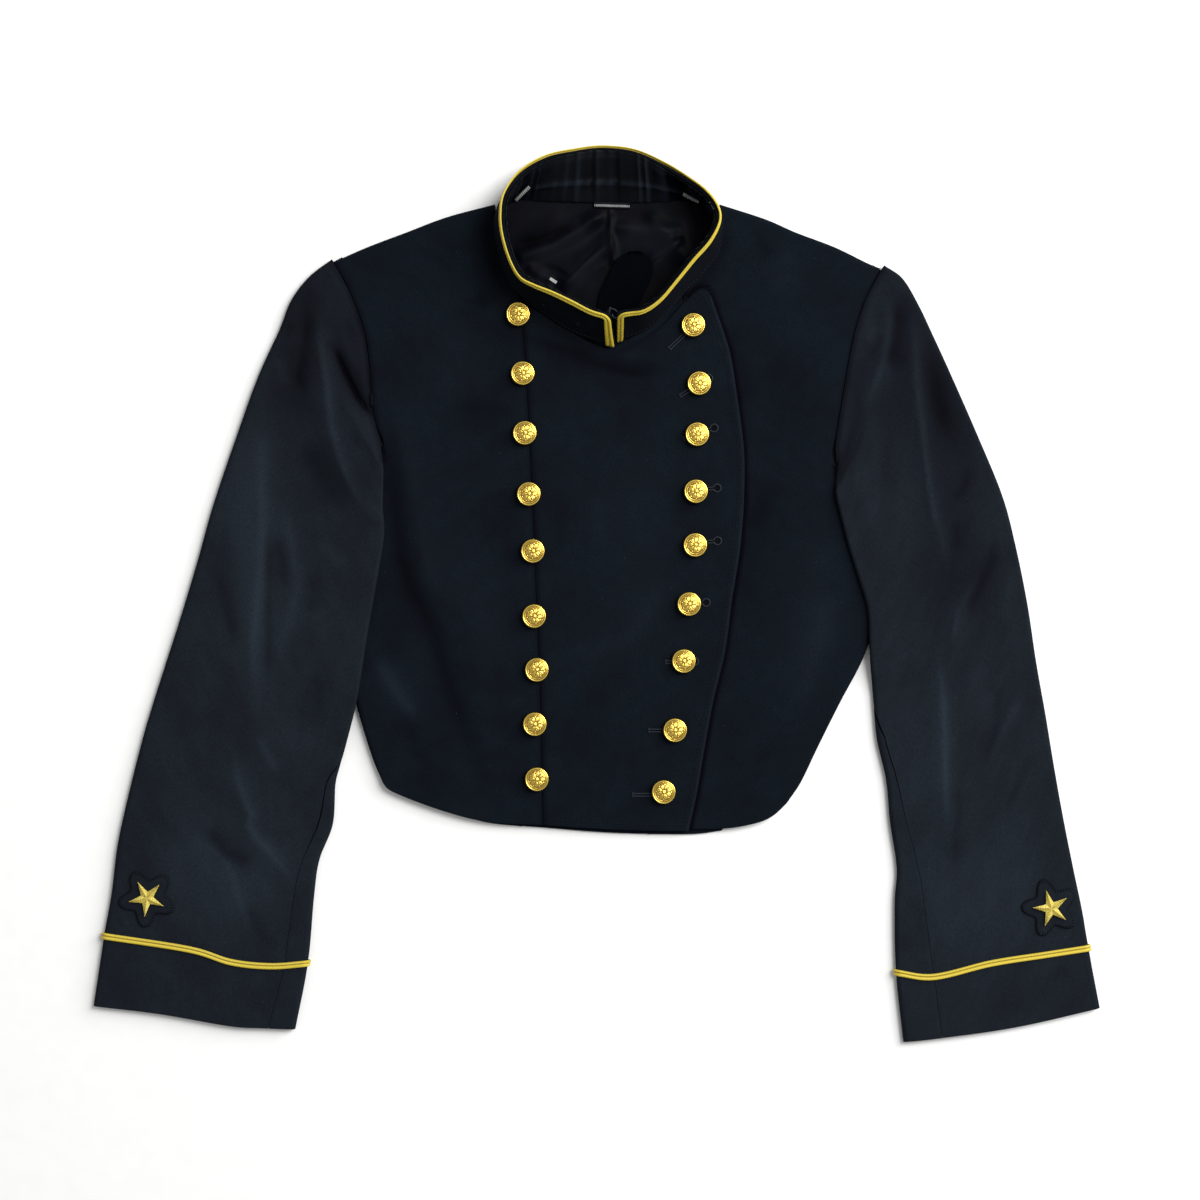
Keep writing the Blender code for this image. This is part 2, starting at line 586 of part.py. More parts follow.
def turned_end(grid, reach):
    """Rows added past a grid's last row, which turn the cloth under along that edge."""
    columns = []
    radius = FRONT_TOP / 2
    for column in range(grid.shape[1]):
        spine = grid[::-1, column]
        centre = at(spine, radius)
        out = (spine[0] - centre)[:2]
        bend = [centre]
        top = centre[2]
        for step in range(1, ROLL_STEPS + 1):
            angle = math.pi * (0.5 - step / ROLL_STEPS)
            bend.append(np.append(centre[:2] + out * math.cos(angle), top / 2 + top / 2 * math.sin(angle)))
        under = at(spine, radius + reach)
        bend.append(np.append(under[:2], 0.0))
        columns.append(bend)
    return np.array(columns).transpose(1, 0, 2)


def front(name, rows, top, count):
    """Side front: its side and shoulder edges turn under to meet the back."""
    grid = np.array([turned_row(line, top, *other, count) for line, other in sections(rows, ROW_STEP)])
    shoulder = turned_end(grid, SHOULDER_TURN)
    middle = grid[:, ROLL_COLUMNS:].reshape(-1, 3).mean(0)
    sheet(name, np.vstack([grid[:-1], shoulder]), FRONT_WOOL, "navy_wool", (middle[0], middle[1], 3))


def plate(name, rows, top, wall, count, material, step=ROW_STEP):
    """Cloth that only lies flat, such as the overlap."""
    grid = []
    for line, _ in sections(rows, step):
        spots = even(line, count)
        grid.append(np.column_stack([spots, top(spots[:, 0], spots[:, 1])]))
    middle = np.array(grid).reshape(-1, 3).mean(0)
    sheet(name, grid, wall, material, (middle[0], middle[1], -50))


# ---------------------------------------------------------------- sleeves
def half_turn(radius, low, steps, inward):
    """(distance, height) points of a fold whose outermost point is at distance 0, from below upward."""
    angles = np.linspace(-math.pi / 2, math.pi / 2, steps + 1)
    distance = radius - radius * np.cos(angles)
    height = low + radius + radius * np.sin(angles)
    under = [[radius + inward, low]] if inward > 0 else []
    return np.vstack([np.array(under).reshape(-1, 2), np.column_stack([distance, height])])


def sleeve_profile(side, line, lap, joined_end):
    """(distance, height) points round a sleeve from its elbow seam, and the inner edge's place on them."""
    total = lengths(line)[-1]
    distance = np.linspace(0, total, 60)
    spots = at(line, distance)
    height = sleeve_level(side, spots[:, 0], spots[:, 1])
    height += lap * (LIP_TOP - SLEEVE_TOP) * (1 - ease((total - distance) / LIP_SLOPE))
    outer_radius = height[0] / 2
    outer = half_turn(outer_radius, 0.0, 12, ELBOW_TURN)
    low = LIP_LOW * lap
    inner_radius = (height[-1] - low) / 2
    if joined_end:
        keep = distance > outer_radius + 1
        profile = np.vstack([outer, np.column_stack([distance, height])[keep]])
        profile[-1, 0] = total - SEAM_GAP
        return profile, lengths(profile)[-1]
    keep = (distance > outer_radius + 1) & (distance < total - inner_radius - 1)
    inner = half_turn(inner_radius, low, 12, 0)[::-1]
    inner[:, 0] = total - inner[:, 0]
    floor_end = np.array([[outer_radius + ELBOW_TURN + SEAM_GAP, low]])
    body = np.column_stack([distance, height])[keep]
    edge = lengths(np.vstack([outer, body, inner[:7]]))[-1]
    return np.vstack([outer, body, inner, floor_end]), edge


def lifted(side, points):
    """Sleeve points with the underside raised where it lies on the cuff braid."""
    row = SLEEVES[side][0][CUFF_BRAID_ROW[side]]
    arch = BRAID_ARCH * np.exp(-(away(points[:, 0], points[:, 1], row.path) / BRAID_ARCH_WIDTH) ** 2)
    points[:, 2] += arch * np.clip(1 - points[:, 2] / SLEEVE_TOP, 0, 1)
    return points


def spread(stops, counts):
    """Distances spaced evenly between stops, with so many steps in each stretch."""
    parts = [np.linspace(a, b, n + 1)[:-1] for a, b, n in zip(stops[:-1], stops[1:], counts)]
    return np.concatenate(parts + [[stops[-1]]])


def placed(line, profile, distances):
    """Space points of a profile over a row's line."""
    flat = at(profile, distances)
    return np.column_stack([at(line, flat[:, 0]), flat[:, 1]])


def topsleeve(side):
    """Upper piece of a sleeve, from the elbow seam under it to the inseam."""
    grid = []
    roll_end = ELBOW_TURN + math.pi * SLEEVE_TOP / 2 + 1
    for line, (joined, lap, inner, _) in sections(SLEEVES[side][0], SLEEVE_STEP):
        profile, edge = sleeve_profile(side, line, lap, False)
        end = edge + inner
        near = min(edge - 7, end - 3)
        stops = (0, ELBOW_TURN, roll_end, near, min(edge + 7, end - 1), end)
        row = placed(line, profile, spread(stops, TOPSLEEVE_STEPS))
        if joined > 0:
            flat, end = sleeve_profile(side, line, 0, True)
            stops = (0, ELBOW_TURN, roll_end, end - 7, end - 1, end)
            row = joined * placed(line, flat, spread(stops, TOPSLEEVE_STEPS)) + (1 - joined) * row
        grid.append(lifted(side, row))
    middle = np.array(grid)[:, 8:16].reshape(-1, 3).mean(0)
    sheet(f"topsleeve_{side}", grid, SLEEVE_WOOL, "navy_wool", (middle[0], middle[1], 3))


def undersleeve(side):
    """Under piece of a sleeve, from the inseam round to the elbow seam."""
    grid = []
    for line, (_, _, _, under) in sections(SLEEVES[side][0], SLEEVE_STEP):
        profile, edge = sleeve_profile(side, line, 0, False)
        start = edge + under
        end = lengths(profile)[-1]
        stops = (start, max(edge - 7, start + 2), max(edge + 7, start + 6), end)
        grid.append(lifted(side, placed(line, profile, spread(stops, UNDERSLEEVE_STEPS))))
    middle = np.array(grid)[:, 9:].reshape(-1, 3).mean(0)
    sheet(f"undersleeve_{side}", grid, SLEEVE_WOOL, "navy_wool", (middle[0], middle[1], 3))


def cuff_braid(side):
    """Ring of braid round a cuff, laid on the sleeve's own outer points."""
    rows = SLEEVES[side][0]
    line = even(smooth(rows[CUFF_BRAID_ROW[side]].path), 40)
    below = even(smooth(rows[CUFF_BRAID_ROW[side] + 1].path), 40)
    along = (below - line) / np.linalg.norm(below - line, axis=1)[:, None]
    profile, edge = sleeve_profile(side, line, 0, False)
    total = lengths(profile)[-1]
    rolls = math.pi * SLEEVE_TOP / 2
    stops = (0, ELBOW_TURN, ELBOW_TURN + rolls, edge - rolls / 2, edge + rolls / 2, total)
    loop = at(profile, spread(stops, BRAID_RING_STEPS))
    loop[-1] = loop[0]
    tangent = np.roll(loop[:-1], -1, axis=0) - np.roll(loop[:-1], 1, axis=0)
    tangent /= np.linalg.norm(tangent, axis=1)[:, None]
    outward = np.column_stack([-tangent[:, 1], tangent[:, 0]])
    outer = loop[:-1] + outward * (BRAID_RELIEF + BRAID)
    outer = np.vstack([outer, outer[:1]])
    grid = []
    run = lengths(line)
    for share in (-0.5, 0.0, 0.5):
        points = np.column_stack([at(line, outer[:, 0]), outer[:, 1]])
        lean = np.column_stack([np.interp(outer[:, 0], run, along[:, k]) for k in (0, 1)])
        points[:, :2] += lean * share * BRAID_WIDTH
        points[:, 2] += BRAID_ARCH * np.clip(1 - points[:, 2] / SLEEVE_TOP, 0, 1)
        grid.append(points)
    middle = np.array(grid).reshape(-1, 3).mean(0)
    sheet(f"cuff_braid_{side}", grid, BRAID, "gold_braid", middle, ring=True)


# ---------------------------------------------------------------- collar
class Collar:
    """Surface of the standing collar, measured along its crest and down from it."""

    def __init__(self):
        """Dense crest and foot lines through the stations."""
        knots = np.array([station.foot + station.crest for station in COLLAR], dtype=float)
        dense = np.array([through(knots, t) for t in np.linspace(0, len(knots) - 1, 520)])
        self.foot = dense[:, :3]
        self.crest = dense[:, 3:]
        self.run = lengths(self.crest)
        self.length = self.run[-1]

    def station(self, number):
        """Distance along the crest at one station of the table."""
        return float(np.interp(number / (len(COLLAR) - 1), np.linspace(0, 1, len(self.run)), self.run))

    def points(self, along, down, out):
        """Points at a distance along the crest, down from it and out from the collar's outer side."""
        along = np.atleast_1d(along).astype(float)
        crest = np.stack([np.interp(along, self.run, self.crest[:, k]) for k in range(3)], axis=-1)
        foot = np.stack([np.interp(along, self.run, self.foot[:, k]) for k in range(3)], axis=-1)
        later = np.stack([np.interp(along + 1.5, self.run, self.crest[:, k]) for k in range(3)], axis=-1)
        sooner = np.stack([np.interp(along - 1.5, self.run, self.crest[:, k]) for k in range(3)], axis=-1)
        drop = foot - crest
        size = np.linalg.norm(drop, axis=1)[:, None]
        drop /= size
        outward = np.cross(later - sooner, drop)
        outward /= np.linalg.norm(outward, axis=1)[:, None]
        down = np.broadcast_to(down, along.shape)[:, None]
        bulge = COLLAR_BULGE * np.sin(math.pi * np.clip(down / size, 0, 1))
        return crest + drop * down + outward * (np.broadcast_to(out, along.shape)[:, None] + bulge)

    def size(self, along):
        """Distance from crest to foot."""
        along = np.atleast_1d(along)
        crest = np.stack([np.interp(along, self.run, self.crest[:, k]) for k in range(3)], axis=-1)
        foot = np.stack([np.interp(along, self.run, self.foot[:, k]) for k in range(3)], axis=-1)
        return np.linalg.norm(foot - crest, axis=1)


def collar_band(collar):
    """Outer cloth of the standing collar."""
    along = np.linspace(0, collar.length, COLLAR_COLUMNS)
    size = collar.size(along)
    grid = [collar.points(along, size * share, 0) for share in np.linspace(1, 0, COLLAR_LEVELS + 1)]
    sheet("collar_band", grid, COLLAR_WALL, "navy_wool", NECK_CENTRE)


def collar_lining(collar):
    """Satin lining inside the collar, gathered across the back of the neck."""
    start, end = collar.station(GATHERED[0]), collar.station(GATHERED[1])
    plain = 8
    along = spread((COLLAR_WALL, start, end, collar.length - COLLAR_WALL), (plain, GATHERS * 3, plain))
    share = np.clip((along - start) / (end - start), 0, 1)
    gather = GATHER_DEPTH * (0.5 - 0.5 * np.cos(2 * math.pi * GATHERS * share))
    size = collar.size(along)
    grid = []
    for level in LINING_LEVELS:
        inward = COLLAR_WALL + COLLAR_EASE + LINING + gather * (0.45 + 0.55 * math.sin(math.pi * level))
        grid.append(collar.points(along, size * (1 - level), -inward))
    sheet("collar_lining", grid, LINING, "dark_satin", NECK_CENTRE, toward=True)


def collar_braid(collar):
    """Braid along the collar's crest and down both front ends, on the band's outer points."""
    half = BRAID_WIDTH / 2
    foot_start, foot_end = collar.size(0)[0] - 1, collar.size(collar.length)[0] - 1
    crest_line = half - BRAID_PROUD
    bend = 3.2
    route = [(half + 0.2, foot_start), (half + 0.2, foot_start * 0.5)]
    for turn in range(4):
        angle = math.pi / 2 * turn / 3
        route.append((half + 0.2 + bend * (1 - math.cos(angle)), crest_line + bend * (1 - math.sin(angle))))
    middle = np.linspace(half + bend + 2, collar.length - half - bend - 2, 42)
    route += [(along, crest_line) for along in middle]
    far = collar.length - half - 0.2
    for turn in range(3, -1, -1):
        angle = math.pi / 2 * turn / 3
        route.append((far - bend * (1 - math.cos(angle)), crest_line + bend * (1 - math.sin(angle))))
    route += [(far, foot_end * 0.5), (far, foot_end)]
    route = np.array(route)
    step = np.gradient(route, axis=0)
    step /= np.linalg.norm(step, axis=1)[:, None]
    across = np.column_stack([-step[:, 1], step[:, 0]])
    grid = []
    for side in (-half, 0, half):
        spot = route + across * side
        grid.append(collar.points(spot[:, 0], spot[:, 1], BRAID_RELIEF + BRAID))
    sheet("collar_braid", grid, BRAID, "gold_braid", NECK_CENTRE)


def collar_tab(collar, side):
    """White tape tab that lies slantwise on the collar lining, where a liner strip buttons in."""
    inward = COLLAR_WALL + COLLAR_EASE + GATHER_DEPTH + LINING + 2 * SEAM_GAP + TAB_WALL
    ends = []
    for number, share in TAB_ENDS[side]:
        along = collar.station(number)
        ends.append((along, collar.size(along)[0] * (1 - share)))
    start, end = np.array(ends)
    across = np.array((start[1] - end[1], end[0] - start[0]))
    across /= np.linalg.norm(across)
    grid = []
    for spot in start + np.linspace(0, 1, 4)[:, None] * (end - start):
        points = spot + np.linspace(-0.5, 0.5, 3)[:, None] * TAB_WIDTH * across
        grid.append(collar.points(points[:, 0], points[:, 1], -inward))
    sheet(f"collar_tab_{side}", grid, TAB_WALL, "white_tape", NECK_CENTRE, toward=True)


# ---------------------------------------------------------------- small pieces
def back():
    """Back of the jacket, flat on the table, from its two side seams to the shoulder seams."""
    outline = []
    right_hole = [BACK_UNDERARM_RIGHT] + [armhole_right(y, 4) for y in BACK_ARMHOLE_HEIGHTS]
    left_hole = [BACK_UNDERARM_LEFT] + [armhole_left(y, -4) for y in BACK_ARMHOLE_HEIGHTS]
    for rows, armhole in ((FRONT_RIGHT, right_hole), (FRONT_LEFT, left_hole)):
        lines = [even(smooth(row.path), 40) for row in rows]
        seam = [at(line, FRONT_TOP / 2 + row.turn + SEAM_GAP) for line, row in zip(lines, rows) if row.fold]
        shoulder = []
        for column in (1, 8, 16, 24, 32, 39):
            spine = np.array([line[column] for line in lines[::-1]])
            shoulder.append(at(spine, FRONT_TOP / 2 + SHOULDER_TURN + 2 * SEAM_GAP))
        outline.append([tuple(p) for p in seam] + list(armhole) + [tuple(p) for p in shoulder])
    right, left = outline
    hem = BACK_HEM
    points = list(hem) + left + list(BACK_NECK) + right[::-1]
    curve = bpy.data.curves.new("back", "CURVE")
    curve.dimensions = "2D"
    curve.fill_mode = "BOTH"
    curve.extrude = WOOL / 2 * MM
    spline = curve.splines.new("POLY")
    spline.points.add(len(points) - 1)
    for point, (x, y) in zip(spline.points, points):
        point.co = (x * MM, y * MM, 0, 1)
    spline.use_cyclic_u = True
    item = add_object("back", curve, "navy_wool")
    item.location.z = WOOL / 2 * MM


def button(name, mesh, place, level):
    """One gilt button at its place on the cloth."""
    item = add_object(name, mesh, "gilt_brass")
    item.location.x += place[0] * MM
    item.location.y += place[1] * MM
    item.location.z = level * MM
    screw = item.modifiers.new("turn", "SCREW")
    screw.steps = BUTTON_SEGMENTS
    screw.render_steps = BUTTON_SEGMENTS
    screw.use_merge_vertices = True
    screw.merge_threshold = 0.00001
    screw.use_smooth_shade = True


def cloth_round(place, reach):
    """Highest upper side of the fronts round a place."""
    spots = [(place[0] + dx, place[1] + dy) for dx in (-reach, 0, reach) for dy in (-reach, 0, reach)]
    return max(max(overlap_top(*spot), front_top(*spot)) for spot in spots)


def buttons():
    """Two rows of nine gilt buttons: domed, with a rolled rim and a shank."""
    mesh = bpy.data.meshes.new("button_profile")
    profile = list(BUTTON_PROFILE[::-1]) + [(0, BUTTON_PROFILE[0][1])]
    points = [(radius * MM, 0, height * MM) for radius, height in profile]
    mesh.from_pydata(points, [(k, k + 1) for k in range(len(points) - 1)], [])
    for side, places in (("right", BUTTONS_RIGHT), ("left", BUTTONS_LEFT)):
        for number, place in enumerate(places, 1):
            level = max(cloth_round(place, SHANK_RADIUS), cloth_round(place, BUTTON_RADIUS) - SHANK_FREE)
            button(f"button_{side}_{number}", mesh, place, level)


def star_outline(radius, waist, turn, per_point):
    """Closed outline of a five-pointed star about the origin; more than one step a knot rounds it."""
    knots = []
    for k in range(10):
        size = radius * (1 if k % 2 == 0 else waist)
        angle = turn + k * math.pi / 5
        knots.append((size * math.cos(angle), size * math.sin(angle)))
    if per_point == 1:
        return np.array(knots + knots[:1])
    ring = np.array(knots[-2:] + knots + knots[:3])
    steps = np.linspace(2, 12, 10 * per_point + 1)
    return np.array([through(ring, t) for t in steps])


def star(side):
    """Cuff star: a navy patch with rounded points, and a faceted gold star on it."""
    x, y = STAR_CENTRES[side]
    turn = STAR_TURN[side]
    base = SEAM_GAP + PATCH_WALL
    outline = star_outline(PATCH_RADIUS, PATCH_WAIST, turn, 3)
    grid = []
    for share in (0.0, 0.5, 1.0):
        spots = outline * share + (x, y)
        grid.append(np.column_stack([spots, sleeve_level(side, spots[:, 0], spots[:, 1]) + base]))
    sheet(f"star_patch_{side}", grid, PATCH_WALL, "navy_wool", (x, y, -50), ring=True)
    outline = star_outline(STAR_RADIUS, STAR_WAIST, turn, 1)
    grid = []
    for share, rise in ((0.0, STAR_RISE), (1.0, 0.5)):
        spots = outline * share + (x, y)
        top = sleeve_level(side, spots[:, 0], spots[:, 1]) + base + SEAM_GAP + STAR_WALL + rise
        grid.append(np.column_stack([spots, top]))
    sheet(f"star_{side}", grid, STAR_WALL, "gold_braid", (x, y, -50), ring=True)


def label():
    """Small bare label at the back of the neck, leaning on the collar lining's foot."""
    grid = [[(x, y, top) for x in np.linspace(*LABEL_X, 4)] for y, top in LABEL_ROWS]
    sheet("label", grid, LABEL_WALL, "white_tape", (9, 294, -50))


def build():
    """All the pieces of the jacket."""
    for item in list(bpy.data.objects):
        bpy.data.objects.remove(item, do_unlink=True)
    collection = bpy.data.collections.new(OBJECT_NAME)
    bpy.context.scene.collection.children.link(collection)
    collection.objects.link(bpy.data.objects.new(OBJECT_NAME, None))
    back()
    front("front_right", FRONT_RIGHT, front_top, 9)
    front("front_left", FRONT_LEFT, left_front_top, 9)
    plate("front_overlap", OVERLAP, overlap_top, FRONT_WOOL, 11, "navy_wool", 26)
    plate("front_underlap", UNDERLAP, underlap_top, FRONT_WOOL, 4, "navy_wool", 60)
    plate("underlap_corner", UNDERLAP_CORNER, underlap_corner_top, FRONT_WOOL, 6, "navy_wool")
    plate("neck_lining", NECK_LINING, neck_lining_top, LINING, 13, "dark_satin", 12)
    for side in ("right", "left"):
        topsleeve(side)
        undersleeve(side)
        cuff_braid(side)
        star(side)
    collar = Collar()
    collar_band(collar)
    collar_lining(collar)
    collar_braid(collar)
    collar_tab(collar, "right")
    collar_tab(collar, "left")
    label()
    buttons()


build()
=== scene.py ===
"""Looks of a mess dress jacket that lies flat on its back with the fronts up.

The cloth pieces repeat the cutting tables of the solids and draw them finer, with their seams,
creases, stitching, braid and buttons. Sizes are millimetres in plan: +X is the wearer's left,
+Y is the collar, +Z is up from the floor. Meshes are moved so that the jacket's middle is at the
origin, as in the solids.
"""
import logging
import math
from dataclasses import dataclass
from enum import Enum
from typing import Callable, NamedTuple, Sequence

import bpy
import numpy as np
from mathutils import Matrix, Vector


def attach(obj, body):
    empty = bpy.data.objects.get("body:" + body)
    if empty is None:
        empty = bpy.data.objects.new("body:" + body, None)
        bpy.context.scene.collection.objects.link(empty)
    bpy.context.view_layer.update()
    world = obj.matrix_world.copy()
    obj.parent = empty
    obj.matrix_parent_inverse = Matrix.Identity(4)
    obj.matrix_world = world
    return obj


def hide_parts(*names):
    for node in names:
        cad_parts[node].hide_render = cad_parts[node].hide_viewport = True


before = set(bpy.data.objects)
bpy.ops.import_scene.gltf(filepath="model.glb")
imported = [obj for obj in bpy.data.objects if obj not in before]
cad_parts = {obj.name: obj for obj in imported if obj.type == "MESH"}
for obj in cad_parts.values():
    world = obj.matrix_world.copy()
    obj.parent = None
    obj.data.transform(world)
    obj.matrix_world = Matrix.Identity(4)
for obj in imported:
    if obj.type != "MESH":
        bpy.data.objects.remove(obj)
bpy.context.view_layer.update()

LOG = logging.getLogger("mess_dress_jacket")
MM = 0.001
CENTRE = (-2.5, 4.1)            # middle of the laid-out jacket in the plan's own numbers
SEAM_GAP = 0.3
Piece = bpy.types.Object
Mesh = tuple[np.ndarray, list]


class Side(Enum):
    """The wearer's side that a piece is on."""

    RIGHT = "right"
    LEFT = "left"


class Held(Enum):
    """How a cloth is held."""

    LAID = "laid"
    GATHERED = "gathered"


# ------------------------------------------------------------------ curves in plan
def through(knots: np.ndarray, t: float) -> np.ndarray:
    """Finds a point on the Catmull-Rom curve through knots.

    Args:
        knots: the curve's points, or whole lines of points.
        t: place on the curve, counted in knots.

    Returns:
        The point, or the line of points, at t.
    """
    last = len(knots) - 1
    index = min(int(t), last - 1)
    f = t - index
    b, c = knots[index], knots[index + 1]
    a = knots[index - 1] if index > 0 else 2 * b - c
    d = knots[index + 2] if index + 2 <= last else 2 * c - b
    square = 2 * a - 5 * b + 4 * c - d
    cube = 3 * b - a - 3 * c + d
    return b + 0.5 * ((c - a) * f + square * f ** 2 + cube * f ** 3)


def smooth(points: Sequence, spans: int = 8) -> np.ndarray:
    """Draws a dense line through a few points: straight for two, a smooth curve for more.

    Args:
        points: the points.
        spans: steps from each point to the next.

    Returns:
        The line's points.
    """
    knots = np.array(points, dtype=float)
    if len(knots) == 2:
        return knots[0] + np.linspace(0, 1, spans * 3)[:, None] * (knots[1] - knots[0])
    steps = np.linspace(0, len(knots) - 1, spans * (len(knots) - 1) + 1)
    return np.array([through(knots, t) for t in steps])


def lengths(line: np.ndarray) -> np.ndarray:
    """Measures the distance along a line at each of its points.

    Args:
        line: the line's points.

    Returns:
        The distances, from 0.
    """
    steps = np.linalg.norm(np.diff(line, axis=0), axis=1)
    return np.concatenate([[0.0], np.cumsum(steps)])


def at(line: np.ndarray, distance: np.ndarray) -> np.ndarray:
    """Finds points along a line, carried straight on past its ends.

    Args:
        line: the line's points.
        distance: one or more distances along it.

    Returns:
        The points.
    """
    run = lengths(line)
    spots = np.stack([np.interp(distance, run, line[:, k]) for k in range(line.shape[1])], axis=-1)
    before = np.minimum(distance, 0)
    after = np.maximum(distance - run[-1], 0)
    first = (line[1] - line[0]) / run[1]
    last = (line[-1] - line[-2]) / (run[-1] - run[-2])
    return spots + np.multiply.outer(before, first) + np.multiply.outer(after, last)


def even(points: Sequence, count: int) -> np.ndarray:
    """Resamples a line to evenly spaced points.

    Args:
        points: the line's points.
        count: how many points to return.

    Returns:
        The resampled line.
    """
    line = np.asarray(points, dtype=float)
    return at(line, np.linspace(0, lengths(line)[-1], count))


def spread(stops: Sequence, counts: Sequence) -> np.ndarray:
    """Spaces distances evenly between stops.

    Args:
        stops: the distances that are kept.
        counts: how many steps each stretch gets.

    Returns:
        All the distances.
    """
    parts = [np.linspace(a, b, n + 1)[:-1] for a, b, n in zip(stops[:-1], stops[1:], counts)]
    return np.concatenate(parts + [[stops[-1]]])


def ease(value: np.ndarray) -> np.ndarray:
    """Gives 0 below 0, 1 above 1 and a smooth step between."""
    value = np.clip(value, 0.0, 1.0)
    return value * value * (3 - 2 * value)


def nearest(x: np.ndarray, y: np.ndarray, line: Sequence) -> tuple[np.ndarray, np.ndarray]:
    """Finds how far points are from a line in plan, and how far along it they lie.

    Args:
        x: the points' X.
        y: the points' Y.
        line: the line's points.

    Returns:
        The distances, and the shares of the line's length.
    """
    spots = np.stack([np.asarray(x, dtype=float), np.asarray(y, dtype=float)], axis=-1)[..., None, :]
    start = np.array(line[:-1], dtype=float)
    step = np.array(line[1:], dtype=float) - start
    size = np.linalg.norm(step, axis=1)
    f = np.clip(((spots - start) * step).sum(-1) / size ** 2, 0, 1)
    gaps = np.linalg.norm(spots - start - f[..., None] * step, axis=-1)
    best = gaps.argmin(-1)[..., None]
    run = np.concatenate([[0.0], np.cumsum(size)])
    share = (run[:-1] + f * size) / run[-1]
    return np.take_along_axis(gaps, best, -1)[..., 0], np.take_along_axis(share, best, -1)[..., 0]


def away(x: np.ndarray, y: np.ndarray, line: Sequence) -> np.ndarray:
    """Gives the distance in plan from points to a line."""
    return nearest(x, y, line)[0]


def drift(x: np.ndarray, y: np.ndarray, height: float, size: float) -> np.ndarray:
    """Gives the soft unevenness of cloth that lies as it fell.

    Args:
        x: the points' X.
        y: the points' Y.
        height: its greatest height.
        size: the width of one soft hill.

    Returns:
        The heights to add.
    """
    turns = ((1.0, 0.31, 0.4), (0.63, 1.0, 1.9), (-0.8, 0.72, 3.1), (0.2, -1.3, 4.4))
    waves = [np.sin((a * x + b * y) * math.pi / size + c) for a, b, c in turns]
    return height * sum(waves) / len(turns)


def unit(vectors: np.ndarray) -> np.ndarray:
    """Scales each vector to a length of 1."""
    return vectors / np.linalg.norm(vectors, axis=-1, keepdims=True)


def sideways(steps: np.ndarray) -> np.ndarray:
    """Turns plan vectors a quarter turn to their left."""
    return np.column_stack([-steps[:, 1], steps[:, 0]])


def on_top(spots: np.ndarray, top: Callable, above: np.ndarray | float = 0.0) -> np.ndarray:
    """Raises plan points to a layer's upper side.

    Args:
        spots: the points in plan.
        top: gives the layer's height at X and Y.
        above: the points' height above the layer.

    Returns:
        The points in space.
    """
    return np.column_stack([spots, top(spots[:, 0], spots[:, 1]) + above])


# ------------------------------------------------------------------ cutting tables
# The panels' rows, the folds and the collar's stations are placed over the photograph
class Row(NamedTuple):
    """One section of a body panel, across it from one edge to the other."""

    path: tuple                 # plan points
    fold: float = 0             # 1 where the side edge is a fold, 0 where it is a seam
    turn: float = 0             # cloth turned under past the side fold


class SleeveRow(NamedTuple):
    """One section of a sleeve, from the elbow fold to the inner edge."""

    path: tuple                 # plan points
    joined: float               # 1 where the inner edge is the armhole seam, 0 where it is a fold
    lap: float                  # 1 where the inner fold lies on the body
    inner: float                # where the topsleeve ends, measured round the cloth past the edge
    under: float                # where the undersleeve starts, measured the same way


class Station(NamedTuple):
    """One upright of the standing collar, round the neck from the right end to the left end."""

    foot: tuple
    crest: tuple


class Fold(NamedTuple):
    """A soft ridge (height above 0) or trough (below 0) along a line."""

    line: tuple
    height: float
    width: float


class Surface(NamedTuple):
    """All the folds of one panel."""

    wide: tuple                 # the solid's own
    seams: tuple                # dips that run the seam's whole length, with painted shade along them
    fine: tuple                 # too narrow for the solid
    shades: tuple               # broad painted light and shade only: paler lit areas, darker shaded ones, and painted shadows beside the collar and the overlap's edge


PRINCESS_SEAM = ((-42.7, -168), (-43.4, -130), (-44.2, -90), (-45.6, -45), (-47.6, 0), (-49.2, 45),
                 (-51.2, 90), (-54.2, 150), (-56.4, 187), (-59, 223))
ARMHOLE_RIGHT = ((-201, 255.5), (-189.3, 234.5), (-180.8, 214.5), (-175.5, 196.5), (-172.3, 172),
                 (-170.8, 148), (-167.6, 131.5), (-163, 114), (-162, 104))
ARMHOLE_LEFT = ((213, 251), (203, 234), (195.3, 216), (189.3, 195), (185, 173), (181.3, 150),
                (177.5, 127), (176, 114), (176.5, 103), (176, 95))


def on_seam(points: Sequence, y: float, aside: float = 0.0) -> tuple:
    """Finds the plan point of a seam at one height in the plan.

    Args:
        points: the seam's points.
        y: the height in the plan.
        aside: how far to move the point in X.

    Returns:
        The point.
    """
    line = smooth(points)
    order = np.argsort(line[:, 1])
    return (float(np.interp(y, line[order, 1], line[order, 0])) + aside, y)


def princess(y: float, aside: float) -> tuple:
    """Finds a point beside the princess seam, that many half seam gaps aside."""
    return on_seam(PRINCESS_SEAM, y, aside * SEAM_GAP / 2)


def armhole_right(y: float, aside: float = 0.0) -> tuple:
    """Finds a point of the right armhole seam, that many seam gaps aside."""
    return on_seam(ARMHOLE_RIGHT, y, aside * SEAM_GAP)


def armhole_left(y: float, aside: float = 0.0) -> tuple:
    """Finds a point of the left armhole seam, that many seam gaps aside."""
    return on_seam(ARMHOLE_LEFT, y, aside * SEAM_GAP)


